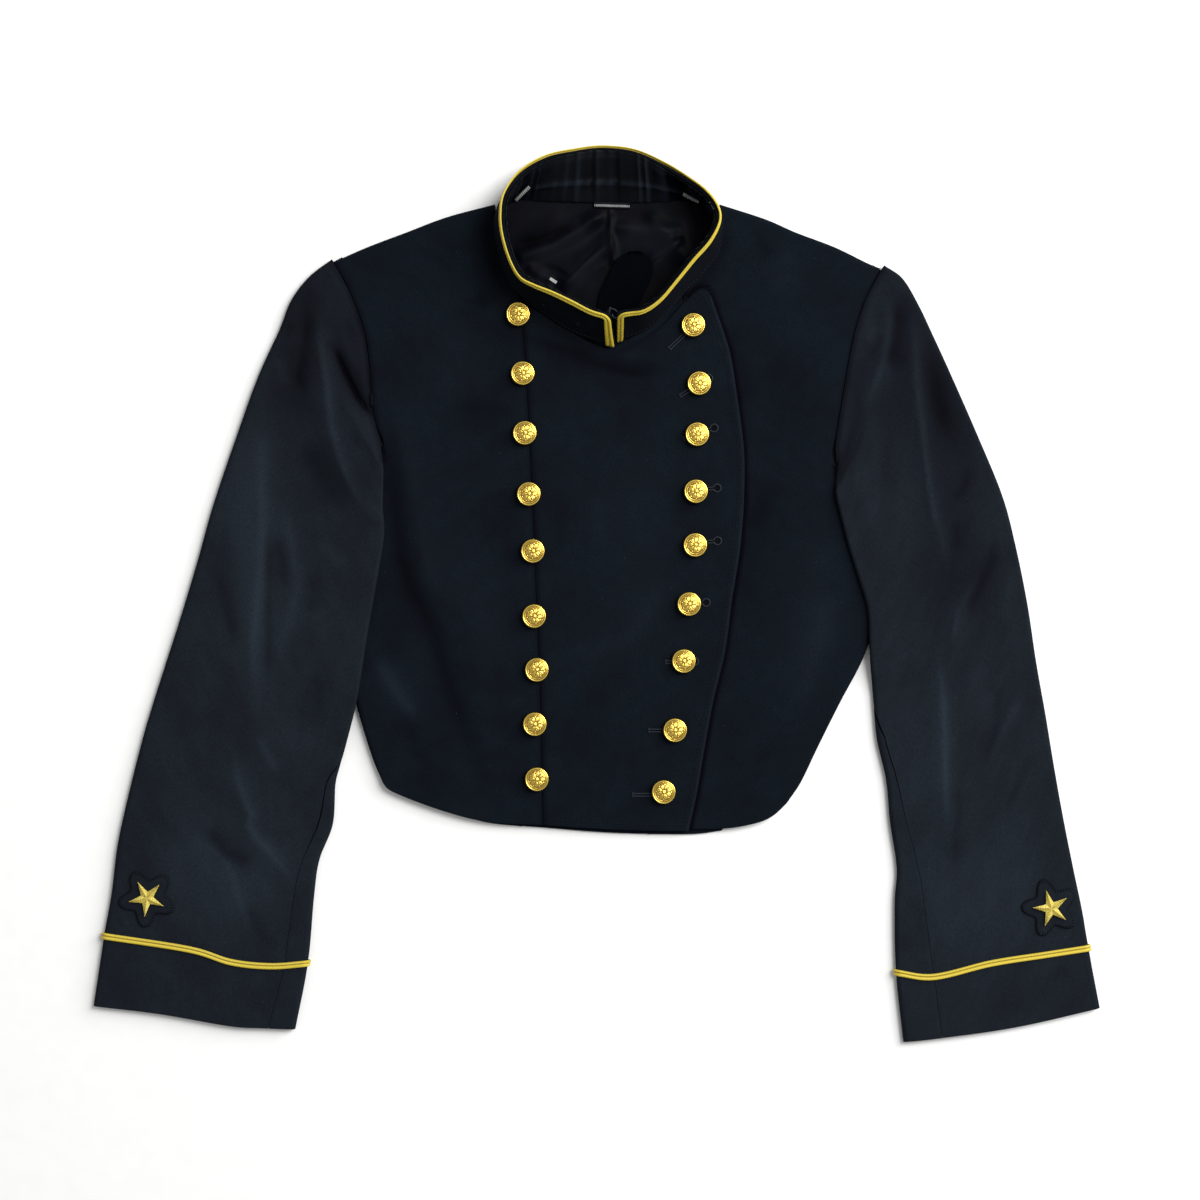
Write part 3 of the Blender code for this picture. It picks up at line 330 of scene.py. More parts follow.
FRONT_RIGHT = (
    Row(((-163, -135.5), (-154.5, -143.5), (-117.5, -157.5), (-83, -166), princess(-168, -1)), 1, 26),
    Row(((-170.5, -117.5), princess(-143.5, -1)), 1, 24),
    Row(((-181.5, -81.5), princess(-104.5, -1)), 1, 21),
    Row(((-188.5, -46.5), princess(-52.5, -1)), 1, 18),
    Row(((-190, -3.5), princess(-7.5, -1)), 1, 15),
    Row(((-187, 39), princess(36, -1)), 1, 11),
    Row(((-180.5, 77), princess(75, -1)), 1, 8),
    Row((armhole_right(113, 2), princess(112, -1)), 0, 8),
    Row((armhole_right(130, 2), princess(130, -1)), 0, 8),
    Row((armhole_right(147.5, 3), princess(148, -1)), 0, 8),
    Row((armhole_right(180, 2), princess(185.5, -1)), 0, 8),
    Row((armhole_right(198, 2), princess(204, -1)), 0, 8),
    Row((armhole_right(214.5, 2), princess(222, -1)), 0, 8),
    Row((armhole_right(234.5, 2), (-70.5, 248)), 0, 8),
    Row((armhole_right(244, 2), (-77, 275)), 0, 8),
    Row(((-199, 253), (-174, 264), (-145, 275), (-114.5, 286.5), (-78.7, 296)), 0, 8),
)

FRONT_LEFT = (
    Row(((140.5, -151), (128, -162), (113.5, -167.5), (90.5, -171), (54, -171)), 1, 26),
    Row(((150.5, -136), (57.5, -142)), 1, 24),
    Row(((163.5, -109), (62, -108.5)), 1, 21),
    Row(((179.5, -77), (66, -75)), 1, 18),
    Row(((198, -41), (68, -41)), 1, 15),
    Row(((209.5, -2), (69.5, -3.5)), 1, 12),
    Row(((210, 36), (71, 37.5)), 1, 9),
    Row(((200.5, 71), (72.5, 71)), 1, 7),
    Row((armhole_left(104, -5), (73.5, 106)), 0, 7),
    Row((armhole_left(124, -2), (72.5, 131)), 0, 7),
    Row((armhole_left(141, -2), (72, 148)), 0, 7),
    Row((armhole_left(158.5, -2), (71, 164.5)), 0, 7),
    Row((armhole_left(193, -2), (66.5, 198)), 0, 7),
    Row((armhole_left(216, -2), (62.5, 225)), 0, 7),
    Row((armhole_left(226, -2), (77.5, 246)), 0, 7),
    Row((armhole_left(236, -2), (88.5, 271.5)), 0, 7),
    Row(((209.8, 248), (199.5, 252.3), (175.5, 264), (146.5, 275), (123.5, 285), (89.5, 296)), 0, 7),
)

OVERLAP = (
    Row((princess(-168, 1), (-22.5, -169.5), (11, -171.5), (45.5, -172.5), (66, -172.5))),
    Row((princess(-146, 1), (72, -146))),
    Row((princess(-112, 1), (77.5, -113.5))),
    Row((princess(-75, 1), (84.5, -75.5))),
    Row((princess(-37.5, 1), (93.5, -38))),
    Row((princess(0, 1), (98.5, 0))),
    Row((princess(37.5, 1), (104.5, 37.5))),
    Row((princess(75, 1), (107.5, 75))),
    Row((princess(112, 1), (10.5, 103), (107.5, 112))),
    Row((princess(149.5, 1), (10.5, 131), (102.5, 151.5))),
    Row((princess(187, 1), (-30, 169), (10.5, 160), (52.5, 170.5), (96.5, 187))),
    Row((princess(222.5, 1), (-49, 217), (-22.5, 200.3), (10.5, 186.7), (40.5, 199.8), (61, 220),
         (70.5, 229.3), (76, 231.9), (80.5, 230.5), (83.5, 225.5))),
)

UNDERLAP = (
    Row(((53.5, -169.5), (-30, -167))),
    Row(((57, -142), (-34, -142))),
    Row(((65.5, -75), (-42, -75))),
    Row(((69, -3.5), (-44, -3.5))),
    Row(((72, 71), (-45, 71))),
    Row(((72, 131), (-40, 131))),
    Row(((70, 164), (-30, 152))),
    Row(((65.8, 198), (30, 180), (-20, 163))),
    Row(((61.5, 225.5), (48, 214), (34, 202.5), (20, 194.5), (4, 184), (-14, 172))),
)

UNDERLAP_CORNER = (
    Row(((25, 204), (2, 206))),
    Row(((28, 217), (-1.5, 218))),
    Row(((33, 229), (0.5, 230))),
    Row(((38, 239.5), (5.5, 241))),
    Row(((39.5, 249), (10.5, 251))),
    Row(((36, 256.5), (16, 257.5))),
    Row(((29.5, 260.3), (23, 260.3))),
)

SLEEVE_RIGHT = (
    SleeveRow(tuple(map(armhole_right, (255, 243, 230, 215, 200, 182, 165, 148))), 1, 0, 12, 6),
    SleeveRow(((-217.5, 242), (-190.5, 198), armhole_right(131.5)), 1, 0, 12, 9),
    SleeveRow(((-231, 224.5), (-190.5, 175.5), armhole_right(115)), 1, 0, 12, 18),
    SleeveRow(((-240, 202), (-194.5, 151), (-161.5, 97)), 0, 1, 12, 26),
    SleeveRow(((-255.5, 168), (-162, 71)), 0, 1, 12, 29),
    SleeveRow(((-272, 122.5), (-161, 48.5)), 0, 1, 12, 33),
    SleeveRow(((-289.5, 71), (-166.5, 13.5)), 0, 1, 12, 30),
    SleeveRow(((-301, 30), (-173.5, -26)), 0, 1, 12, 23),
    SleeveRow(((-314.5, -15), (-181, -73.5)), 0, 1, 12, 16),
    SleeveRow(((-329, -60), (-190.5, -110)), 0, 0, 3, 6),
    SleeveRow(((-335.5, -80.8), (-194.7, -124.7)), 0, 0, -4, -2.8),
    SleeveRow(((-341.5, -101), (-198, -138.5)), 0, 0, -9, -8.2),
    SleeveRow(((-352, -142), (-200, -168)), 0, 0, -13, -12.0),
    SleeveRow(((-361, -183), (-210, -194.5)), 0, 0, -14, -13.7),
    SleeveRow(((-365.5, -219), (-214, -222)), 0, 0, -17, -16.7),
    SleeveRow(((-371, -251), (-306.5, -261), (-275.5, -270.5), (-246, -273.5), (-218.5, -271.5)),
              0, 0, -20, -19.7),
    SleeveRow(((-379, -303.5), (-329, -309.5), (-276.5, -318.5), (-252.5, -320), (-228, -321)),
              0, 0, -22, -21.7),
)

SLEEVE_LEFT = (
    SleeveRow(tuple(map(armhole_left, (250.5, 240, 225, 210, 195, 175, 150, 126.5))), 1, 0, 12, 6),
    SleeveRow(((226.5, 240.5), (200.5, 190.5), armhole_left(113.5)), 1, 0, 12, 10),
    SleeveRow(((238.5, 220.5), (200.5, 160.5), armhole_left(103.5)), 1, 0, 12, 20),
    SleeveRow(((249.5, 197.5), (205.5, 134.5), (175.5, 80.5)), 0, 1, 12, 37),
    SleeveRow(((263, 168), (179.5, 62)), 0, 1, 12, 46),
    SleeveRow(((282.5, 123.5), (185.5, 39)), 0, 1, 12, 42),
    SleeveRow(((301, 78.5), (193, 15.5)), 0, 1, 12, 32),
    SleeveRow(((311, 41), (199.5, -7.5)), 0, 1, 12, 23),
    SleeveRow(((320, -3.5), (201, -39)), 0, 1, 11, 17),
    SleeveRow(((326.5, -46.5), (204, -69)), 0, 0, 2, 6),
    SleeveRow(((333.5, -86), (207, -103)), 0, 0, -8, -7.2),
    SleeveRow(((340, -125.5), (214, -134.5)), 0, 0, -10, -9.3),
    SleeveRow(((347, -164.5), (217, -166)), 0, 0, -14, -13.7),
    SleeveRow(((354.5, -202), (222, -200.5)), 0, 0, -18, -17.7),
    SleeveRow(((361, -233), (220.5, -228)), 0, 0, -24, -23.7),
    SleeveRow(((365.5, -260), (333, -265), (291.5, -271.5), (249.5, -281.5), (221.5, -278.5)),
              0, 0, -31, -30.7),
    SleeveRow(((374, -305), (310, -319.5), (250.5, -328), (227, -330.5)), 0, 0, -31, -30.7),
)

COLLAR = (
    Station((11.2, 188.9, 8.9), (8.0, 208.7, 36)),
    Station((-8.0, 194.6, 8.9), (-6, 212.5, 36.5)),
    Station((-23, 200.5, 8.9), (-20, 219.5, 37.5)),
    Station((-38, 210.5, 8.9), (-35, 226.5, 39)),
    Station((-50, 218.5, 8.9), (-48, 231.5, 41)),
    Station((-62, 230, 8.6), (-58, 237, 43)),
    Station((-71.5, 246, 8.4), (-65, 249, 44)),
    Station((-78, 268, 8.4), (-70.5, 267, 44)),
    Station((-79.5, 283, 8.8), (-72, 283, 42)),
    Station((-76, 295.5, 6.3), (-69.5, 299, 37)),
    Station((-66, 302, 1.6), (-58.5, 316, 28)),
    Station((-46, 301.5, 0.6), (-40, 328.5, 20)),
    Station((-22, 300.5, 0.5), (-19, 334, 16)),
    Station((3, 299.5, 0.5), (2, 336.5, 15)),
    Station((28, 300, 0.5), (26, 333.5, 16)),
    Station((54, 301.5, 0.6), (48, 323, 20)),
    Station((74, 302, 1.6), (66, 310.5, 28)),
    Station((86, 298, 6.5), (78, 299.5, 37)),
    Station((91, 288, 8.4), (85.5, 288, 42)),
    Station((91.5, 275, 8.3), (86.5, 277, 44)),
    Station((88, 258, 8.1), (79.5, 263, 43.5)),
    Station((76, 243, 6.8), (68, 250, 42.5)),
    Station((62, 228, 6.1), (56.5, 236, 40.5)),
    Station((48.5, 212.5, 5.9), (44, 221.5, 38.5)),
    Station((34, 201, 5.9), (32.5, 213.5, 37)),
    Station((21.6, 196.2, 5.9), (21.8, 211.6, 36)),
    Station((12.2, 193.0, 5.9), (12.4, 210.4, 36)),
)

# Both ends of each tab: station, and share of the collar's height up from its foot
TAB_ENDS = {Side.RIGHT: ((9.75, 0.15), (10.3, 0.5)), Side.LEFT: ((15.75, 0.42), (16.4, 0.2))}

BACK_HEM_LINE = ((-112, -158.5), (-83, -167), (-42, -170.5), (10, -174.4), (66, -175.4), (91, -172.8))
BACK_NECK = ((88, 283), (84.5, 296.5), (74, 299.6), (54, 300.2), (28, 299), (3, 298.6), (-22, 299.2),
             (-46, 300.2), (-64, 299.8), (-73, 296.5), (-76, 283))

BACK_ARMHOLE_HEIGHTS = (112, 130, 150, 170, 190, 205, 217, 230)
BACK_ARMHOLE_RIGHT = ((-163, 95), *(armhole_right(y, 4) for y in BACK_ARMHOLE_HEIGHTS))
BACK_ARMHOLE_LEFT = ((175, 92), *(armhole_left(y, -4) for y in BACK_ARMHOLE_HEIGHTS))

NECK_LINING = (
    Row(((-28, 201), (-4, 198), (22, 203))),
    Row(((-54, 219), (-4, 210), (44, 218))),
    Row(((-66, 236), (0, 230), (61, 237))),
    Row(((-74, 256), (0, 252), (77, 256))),
    Row(((-75, 278), (0, 275), (85, 277))),
    Row(((-69, 299), (-40, 300), (0, 300), (40, 300), (78, 298.5))),
)

FRONT_FOLDS = (
    Fold(((-155, 21), (-138, -18), (-123, -59), (-105, -99), (-90, -135), (-84, -157)), -1.4, 10),
    Fold(((-175, -39), (-157, -73), (-138, -94), (-126, -116), (-118, -139)), 1.3, 9),
    Fold(((-150, 180), (-120, 120), (-100, 60)), 0.6, 26),
    Fold(((-168, 97), (-170, 88)), -3.0, 14),
    Fold(((180, 96), (190, 78)), -3.4, 14),
    Fold(((190, -20), (165, -75), (140, -125)), 0.8, 14),
    Fold(((160, 140), (150, 60), (165, 0)), 0.7, 20),
)
OVERLAP_FOLDS = (
    Fold(((-54, 200), (-20, 181), (30, 180)), 0.9, 9),
    Fold(((-10, -95), (12, -60), (20, -20)), 0.7, 12),
    Fold(((20, 120), (35, 20), (25, -60)), 0.5, 22),
)
NECK_FOLDS = (
    Fold(((9, 286), (7, 276), (11, 254)), 1.2, 2.5),
    Fold(((-60, 261), (-36, 272), (-14, 281), (0, 288)), 2.0, 5),
    Fold(((-26, 240), (-12, 255), (4, 270)), 1.8, 5),
    Fold(((40, 285), (52, 268), (62, 258)), 1.8, 6),
    Fold(((-62, 245), (-40, 232)), 1.5, 6),
)
SLEEVE_RIGHT_FOLDS = (
    Fold(((-197, 188), (-189, 162), (-179, 146)), -2.0, 7),
    Fold(((-212, 228), (-212, 199), (-206, 170), (-198, 155)), 1.8, 8),
    Fold(((-221, 214), (-221, 176)), -1.2, 7),
    Fold(((-258, 148), (-254, 121), (-252, 90), (-254, 52), (-252, -5), (-249, -86), (-241, -129)),
         1.6, 13),
    Fold(((-206, 144), (-198, 109), (-183, 81), (-164, 60)), 1.5, 9),
    Fold(((-290, 33), (-279, -25)), -1.5, 10),
    Fold(((-267, -146), (-261, -172), (-239, -202), (-229, -215)), 1.5, 9),
    Fold(((-308, -170), (-286, -185), (-276, -205), (-269, -232)), -1.4, 9),
)
SLEEVE_LEFT_FOLDS = (
    Fold(((220, 230), (216, 196), (211, 172)), 1.7, 8),
    Fold(((231, 224), (235, 186), (238, 148), (247, 90), (251, 49)), 1.6, 11),
    Fold(((224, 219), (220, 176)), -1.4, 7),
    Fold(((291, 37), (277, 4), (266, -25)), 1.4, 11),
    Fold(((257, -43), (257, -86), (256, -129), (262, -176)), 1.5, 12),
    Fold(((298, -75), (294, -104), (281, -133)), -1.3, 9),
    Fold(((313, -138), (298, -172)), 1.2, 9),
    Fold(((188, 96), (200, 60), (214, 30)), 1.4, 9),
)

# Folds too narrow for the solids, and the seams' own dips. They are also painted into the cloth's
# colour: painted shade in dips and troughs, a painted highlight on ridges; EDGE_SHADOW is the painted
# shadow beside the overlap's edge, EDGE_LIP a low lip with a painted highlight
EDGE_LINE = tuple(row.path[-1] for row in OVERLAP)
CORNER_LINE = ((82.8, 230.5), (80.5, 233.6), (76, 235.2), (70.5, 232.6), (65, 227))
EDGE_SHADOW = Fold(tuple((x + 1.2, y) for x, y in EDGE_LINE) + CORNER_LINE, -1.5, 2.1)
EDGE_LIP = Fold(tuple((x - 1.0, y) for x, y in EDGE_LINE), 0.5, 1.4)
PRINCESS_DIP = Fold(PRINCESS_SEAM, -0.8, 2.4)
RIGHT_ARMHOLE_DIP = Fold(ARMHOLE_RIGHT, -0.8, 2.6)
LEFT_ARMHOLE_DIP = Fold(ARMHOLE_LEFT, -0.8, 2.6)
FRONT_FINE = (
    Fold(((-158.3, 149.4), (-158.3, 112), (-154.6, 67), (-149.4, 30), (-140.4, 4), (-128.4, -18.7),
          (-122.5, -37.3), (-114.3, -67), (-104.6, -89.6), (-95.6, -119.5), (-88, -149.4)), -1.6, 6),
    Fold(((-146.4, 160.6), (-145.6, 119.5), (-142, 74.7), (-134.4, 37.3), (-127, 7.5), (-118, -15),
          (-104.6, -41), (-89.6, -53.8), (-71, -62.7)), 0.9, 8),
    Fold(((-171, -39.6), (-151, -71), (-133.8, -94)), 1.2, 5),
    Fold(((-93.4, 230), (-85, 215.8)), -1.0, 5),
    Fold(((-127, 145.6), (-59.7, 141)), -0.6, 4),
    Fold(((-74.7, 89.6), (-71, 15)), -0.5, 7),
)
OVERLAP_FINE = (
    Fold(((-79.2, 200), (-59, 198.6), (-33.6, 187.4), (-4.5, 178.5), (24, 170.3), (47, 170.3),
          (56, 178.5), (61, 190.4)), -1.3, 5),
    Fold(((-50.8, 193.4), (-21.7, 187.4), (6.7, 180)), -0.6, 2.6),
    Fold(((-16.4, 178.5), (12.7, 170.3), (44, 167.3)), -0.6, 2.6),
    Fold(((-30, 198), (0, 184), (37.3, 180.7)), 0.7, 3),
    Fold(((-38.8, -30.6), (-7.5, -39.6), (18.7, -30.6), (38, -5), (50, 24)), 0.5, 6),
    Fold(((50, 63.5), (73, 69.5), (87.4, 72.4)), -0.5, 3),
    Fold(((-4.5, 83.6), (0, 38)), 0.4, 6),
    Fold(((-33, 82), (-30, 30)), -0.5, 5),
    Fold(((-63.5, -115.8), (-44.8, -108.3), (-22.4, -118)), -0.4, 3),
    Fold(((93.5, 189), (89, 190.5), (84.5, 193)), 0.5, 1.3),
)
LEFT_FINE = (
    Fold(((130.7, 89.6), (121.7, 69.5), (110.5, 49.3)), -0.9, 6),
    Fold(((112.8, 279.3), (124.7, 253)), -0.8, 4),
    Fold(((170.3, 12), (162, -30.6), (145, -88)), 0.7, 8),
)
NECK_FINE = (
    Fold(((7.5, 292), (7.5, 277), (9.7, 253)), 0.9, 1.6),
    Fold(((-58, 256), (-37, 264), (-16, 275), (-4, 284)), 2.6, 5),
    Fold(((-63, 262), (-37.4, 271), (-15, 282)), -1.2, 3),
    Fold(((-27, 235), (-13.5, 248.4), (6, 263.4)), 2.2, 4.5),
    Fold(((37.4, 254.4), (46.4, 260.4), (59, 268.6)), 2.4, 3.5),
    Fold(((14, 279), (36, 276), (58, 277)), 1.6, 5),
    Fold(((-52, 248), (-38, 240)), 1.4, 3.5),
)
SLEEVE_RIGHT_FINE = (
    Fold(((-206, 194.6), (-196.6, 184.2), (-190.4, 169.7), (-182.1, 153.1), (-175.9, 143.8),
          (-165.6, 131.3)), -3.4, 2.2),
    Fold(((-210, 225.7), (-211, 198.7), (-208, 184.2), (-205, 163.5), (-201, 130), (-194.6, 105.4),
          (-186.3, 84.6), (-176, 68), (-163.5, 57.7)), 1.4, 3.5),
    Fold(((-197.7, 225.7), (-194.6, 204.9), (-188.3, 184.2), (-178, 167.6)), 1.0, 4),
    Fold(((-219.5, 219.5), (-219.5, 200.8), (-221.6, 182), (-224.6, 167.6), (-219.5, 147)), -1.2, 4),
    Fold(((-233, 209), (-233, 195)), -0.7, 3),
    Fold(((-241.3, 184.2), (-238.2, 165.6), (-233, 157.3)), 0.8, 4),
    Fold(((-258, 147), (-254.7, 126), (-254.7, 105.4), (-253.7, 82.6), (-252.6, 66), (-253.7, 39),
          (-254.7, 18), (-260, -30), (-257.6, -74.7), (-255.4, -104.6)), 1.0, 4),
    Fold(((-248.7, 59.7), (-248, 0), (-248.7, -74.7)), -0.8, 2.5),
    Fold(((-244.3, 82.6), (-236, 66), (-232, 47), (-229, 28.6), (-226.7, 8), (-232, -12.8),
          (-238, -31.5), (-239, -54.4)), 0.8, 4),
    Fold(((-244.3, 49.4), (-238.2, 22.4), (-236, 5.8)), -0.7, 3),
    Fold(((-221.8, 121.7), (-209, 89.6), (-194.2, 63.5)), -1.2, 9),
    Fold(((-290, 26.6), (-282.7, 5.8), (-279.6, -15), (-272.4, -37.8)), -0.8, 3),
    Fold(((-215.3, 45.3), (-200.8, 32.8), (-186.3, 24.5)), 0.4, 3),
    Fold(((-221.6, 22.4), (-215.3, 12), (-217.4, -12.8)), -0.6, 3),
    Fold(((-192.7, 126), (-176, 111.6), (-165.8, 93)), -0.6, 3.5),
    Fold(((-221, -53), (-208.4, -63.5), (-212.4, -82), (-204, -98.6)), -0.8, 5),
    Fold(((-258, -98.7), (-251.8, -111), (-245.6, -122.6), (-238.4, -132)), 0.8, 2.6),
    Fold(((-274.7, -107), (-271.5, -132), (-266.4, -148.5), (-261, -161), (-263, -169), (-256, -179.7),
          (-245.6, -190), (-235, -204.5), (-229, -215)), 1.1, 2.8),
    Fold(((-297.5, -169), (-289, -179.7), (-281, -190), (-270.5, -194), (-256, -194)), -1.3, 3.5),
    Fold(((-312, -179.7), (-295.4, -182.7), (-285, -190), (-276.8, -202.5), (-271.5, -221),
          (-264.3, -239.8), (-260, -254.4)), 0.8, 3),
    Fold(((-268.4, -225.3), (-260, -237.7), (-251.8, -254.4), (-239.4, -260.6)), -0.8, 3.5),
    Fold(((-255.4, -287.5), (-257, -312)), -0.5, 5),
    Fold(((-322.6, -289.8), (-330.8, -306)), -0.4, 4),
    Fold(((-260, -173.3), (-221, -175.5)), -0.3, 2.4),
    Fold(((-339, -161), (-322.4, -170.3), (-310, -172.4)), -0.4, 2.6),
)
SLEEVE_LEFT_FINE = (
    Fold(((223.2, 229.4), (221, 206.6), (218, 179.7), (215, 165)), -2.0, 5),
    Fold(((215, 165), (215, 115), (217, 61.4)), -0.6, 7),
    Fold(((219, 229.4), (216, 204.5), (210.7, 177.6), (202.5, 154.7), (194.2, 140.2)), 1.4, 3.5),
    Fold(((206.6, 206.6), (198.3, 190)), 0.8, 3.5),
    Fold(((212.8, 200.4), (198.3, 177.6)), -0.7, 3),
    Fold(((226.4, 229.4), (231.5, 210.7), (234.6, 186), (235.7, 165), (238.8, 136), (242, 111),
          (246, 82), (250, 61.4), (256.4, 36.5), (258.5, 22), (263.7, 5.4)), 1.5, 3.2),
    Fold(((242, 206.6), (250, 156.8), (258.5, 123.7), (264.7, 111)), -1.2, 7),
    Fold(((277, 103), (271, 82), (260.6, 71.8)), -0.9, 2.6),
    Fold(((264.7, 61.4), (267.8, 32.3)), -0.7, 3),
    Fold(((293.7, 49), (292.7, 30.3), (285.4, 13.7), (277, -3), (273, -17.4)), -1.3, 4),
    Fold(((283.3, 22), (275, 5.4), (266.8, -9), (263.7, -25.7), (261.6, -42.3)), 1.1, 3),
    Fold(((251.4, -30), (254.5, -61), (256, -92), (256.6, -123), (257.6, -144), (258.7, -164.7),
          (260.8, -179)), 1.2, 3),
    Fold(((268, -137.7), (267, -162.6), (264, -179), (264, -202)), -0.8, 3),
    Fold(((286.7, -56.8), (296, -71.4), (296, -90), (290.8, -110.8), (282.5, -133.6)), -1.0, 3),
    Fold(((317.8, -65), (301, -98.4), (290.8, -117), (282.5, -137.7)), 0.6, 3),
    Fold(((328, -106.6), (317.8, -123), (307.5, -148), (299, -166.8)), -0.8, 3),
    Fold(((308.3, 30.3), (302, -1), (300, -21.6)), 0.6, 4),
    Fold(((361.4, -272.6), (342.7, -281), (317.8, -299.5), (295, -318)), -0.6, 5),
    Fold(((222.4, -222.8), (243.2, -245.6)), -0.5, 4),
)

# Broad painted light and shade on each panel: above 0 a lit area, below 0 a shaded area or a painted
# shadow, such as those along the collar's foot
FRONT_SHADES = (
    Fold(((-149, 135), (-149, 78), (-141.5, 14), (-110, -26), (-92, -80)), -0.4, 12),
    Fold(((-172, 40), (-160, 0), (-134, -40)), -0.25, 18),
    Fold(((-120, 143), (-46, 134)), -0.2, 12),
    Fold(((-74, 215), (-66, 170)), -0.25, 14),
    Fold(((-120, 240), (-110, 190), (-100, 120)), 0.12, 22),
    Fold(((-100, 60), (-90, 0), (-70, -60)), 0.14, 20),
    Fold(((-150, -75), (-125, -110), (-105, -150)), -0.2, 16),
    Fold(((-83, 300), (-84, 270), (-76, 244), (-60, 226)), -0.7, 9),
)
OVERLAP_SHADES = (
    Fold(((20, 140), (30, 60), (20, -40)), 0.14, 26),
    Fold(((-40, 190), (10, 172), (60, 185)), -0.25, 12),
    Fold(((-20, -60), (0, -120)), -0.12, 26),
    Fold(((-62, 226), (-38, 206), (-15, 193), (10, 184), (34, 197), (62, 223)), -0.6, 4),
)
LEFT_SHADES = (
    Fold(((112, 100), (118, 60), (110, 20), (98, -25)), -0.4, 13),
    Fold(((110, 190), (140, 140), (165, 90)), -0.18, 30),
    Fold(((150, 60), (165, 0), (150, -60)), 0.15, 22),
    Fold(((150, 262), (120, 235)), 0.15, 14),
    Fold(((62, 222), (80, 243), (92, 262), (95, 285)), -0.6, 5),
    Fold(((92, 215), (104, 180), (110, 140)), -0.35, 7),
)
SLEEVE_RIGHT_SHADES = (
    Fold(((-257, 160), (-265, 80), (-257, -10), (-253, -90)), 0.3, 15),
    Fold(((-215, 215), (-208, 170), (-198, 130)), 0.2, 9),
    Fold(((-193, 225), (-184, 190), (-172, 140)), -0.45, 10),
    Fold(((-238, 130), (-200, 98), (-165, 70)), -0.35, 14),
    Fold(((-236, 200), (-226, 165), (-219, 125)), -0.3, 10),
    Fold(((-190, 262), (-212, 240), (-236, 200)), -0.4, 20),
    Fold(((-200, 20), (-215, -60), (-215, -140)), 0.12, 26),
    Fold(((-285, 60), (-300, -20)), -0.15, 14),
    Fold(((-196, 248), (-212, 190), (-236, 110)), -0.55, 36),
    Fold(((-345, -190), (-215, -225)), 0.3, 40),
)
SLEEVE_LEFT_SHADES = (
    Fold(((208, 160), (228, 90), (246, 20)), 0.28, 14),
    Fold(((250, 190), (262, 140), (280, 90)), -0.35, 13),
    Fold(((196, 200), (190, 140), (184, 80)), -0.4, 11),
    Fold(((264, 20), (280, -40), (290, -110)), 0.22, 13),
    Fold(((205, 262), (228, 235), (246, 195)), -0.4, 20),
    Fold(((220, -20), (232, -100), (236, -180)), 0.1, 24),
    Fold(((208, 245), (226, 190), (250, 90), (272, -20), (280, -90)), -0.6, 38),
    Fold(((225, -230), (345, -215)), 0.26, 42),
)
RIGHT_FRONT = Surface(FRONT_FOLDS, (PRINCESS_DIP, RIGHT_ARMHOLE_DIP), FRONT_FINE, FRONT_SHADES)
LEFT_FRONT = Surface(FRONT_FOLDS, (LEFT_ARMHOLE_DIP, EDGE_SHADOW), LEFT_FINE, LEFT_SHADES)
OVERLAPPING = Surface(OVERLAP_FOLDS, (PRINCESS_DIP, EDGE_LIP), OVERLAP_FINE, OVERLAP_SHADES)
LYING_SLEEVES = {
    Side.RIGHT: Surface(SLEEVE_RIGHT_FOLDS, (RIGHT_ARMHOLE_DIP,), SLEEVE_RIGHT_FINE,
                        SLEEVE_RIGHT_SHADES),
    Side.LEFT: Surface(SLEEVE_LEFT_FOLDS, (LEFT_ARMHOLE_DIP,), SLEEVE_LEFT_FINE, SLEEVE_LEFT_SHADES),
}

NECK_SHADES = (
    Fold(((-40, 214), (0, 202), (40, 222), (66, 246), (78, 276)), -1.0, 15),
    Fold(((-10, 291), (30, 288), (66, 289)), -0.7, 7),
    Fold(((12, 275), (34, 274), (58, 266)), 0.7, 9),
    Fold(((-30, 250), (-10, 236)), 0.4, 9),
    Fold(((-60, 262), (-38, 268), (-14, 280)), -0.8, 4),
    Fold(((-57, 250), (-44, 242)), -0.9, 6),
    Fold(((-55, 284), (-20, 290)), 0.35, 8),
    Fold(((10, 262), (8, 235)), -0.5, 8),
    Fold(((-61, 267), (-40, 273), (-17.5, 283)), -1.3, 1.6),
    Fold(((7.1, 288), (8.2, 270), (11, 252)), -1.3, 1.0),
    Fold(((-32, 232), (-12, 252), (8.2, 272)), -1.2, 1.5),
    Fold(((-43, 253), (-30, 247), (-20, 240)), -1.3, 1.4),
    Fold(((37, 249), (48, 258), (60, 268)), 1.5, 1.2),
    Fold(((-66, 262), (-48, 279), (-28, 293)), -0.8, 5),
    Fold(((24, 262), (30, 240), (24, 224)), -1.0, 6),
)
NECK_SURFACE = Surface((), (), NECK_FINE, NECK_SHADES)

BUTTONS_RIGHT = ((-61, 213), (-57.5, 169), (-56, 124.5), (-53, 79), (-50, 36.5), (-49, -12),
                 (-47, -52), (-48.5, -92.5), (-47, -133.5))
BUTTONS_LEFT = ((69.5, 205), (74, 161.5), (72.5, 123.5), (71.5, 81), (71, 41), (66.5, -3),
                (62.5, -45.5), (56, -97), (47.5, -143))


def creases(x: np.ndarray, y: np.ndarray, folds: Sequence, taper: float = 0.0,
            broad: float = 1.0) -> np.ndarray:
    """Adds up the heights that folds give to plan points.

    Args:
        x: the points' X.
        y: the points' Y.
        folds: the folds.
        taper: share of a fold's length over which each end fades out.
        broad: how many times its own width each fold is given.

    Returns:
        The heights to add.
    """
    total = np.zeros(np.broadcast(x, y).shape)
    for fold in folds:
        gap, share = nearest(x, y, fold.line)
        fade = ease(np.minimum(share, 1 - share) / taper) if taper > 0 else 1.0
        total = total + fold.height * fade * np.exp(-(gap / (fold.width * broad)) ** 2)
    return total


WIDE = 0.55                     # share of the wide folds' height, since fine ones are drawn too
TAPER = 0.3
# A fine fold is a narrow line on a broader swell: the height of each, and how much broader it is
LINE, SWELL, SWELL_BROAD = 0.5, 0.32, 2.4
# The same for the painted light and shade that the folds are given
TONE_LINE, TONE_SWELL, TONE_BROAD = 0.4, 0.3, 2.8


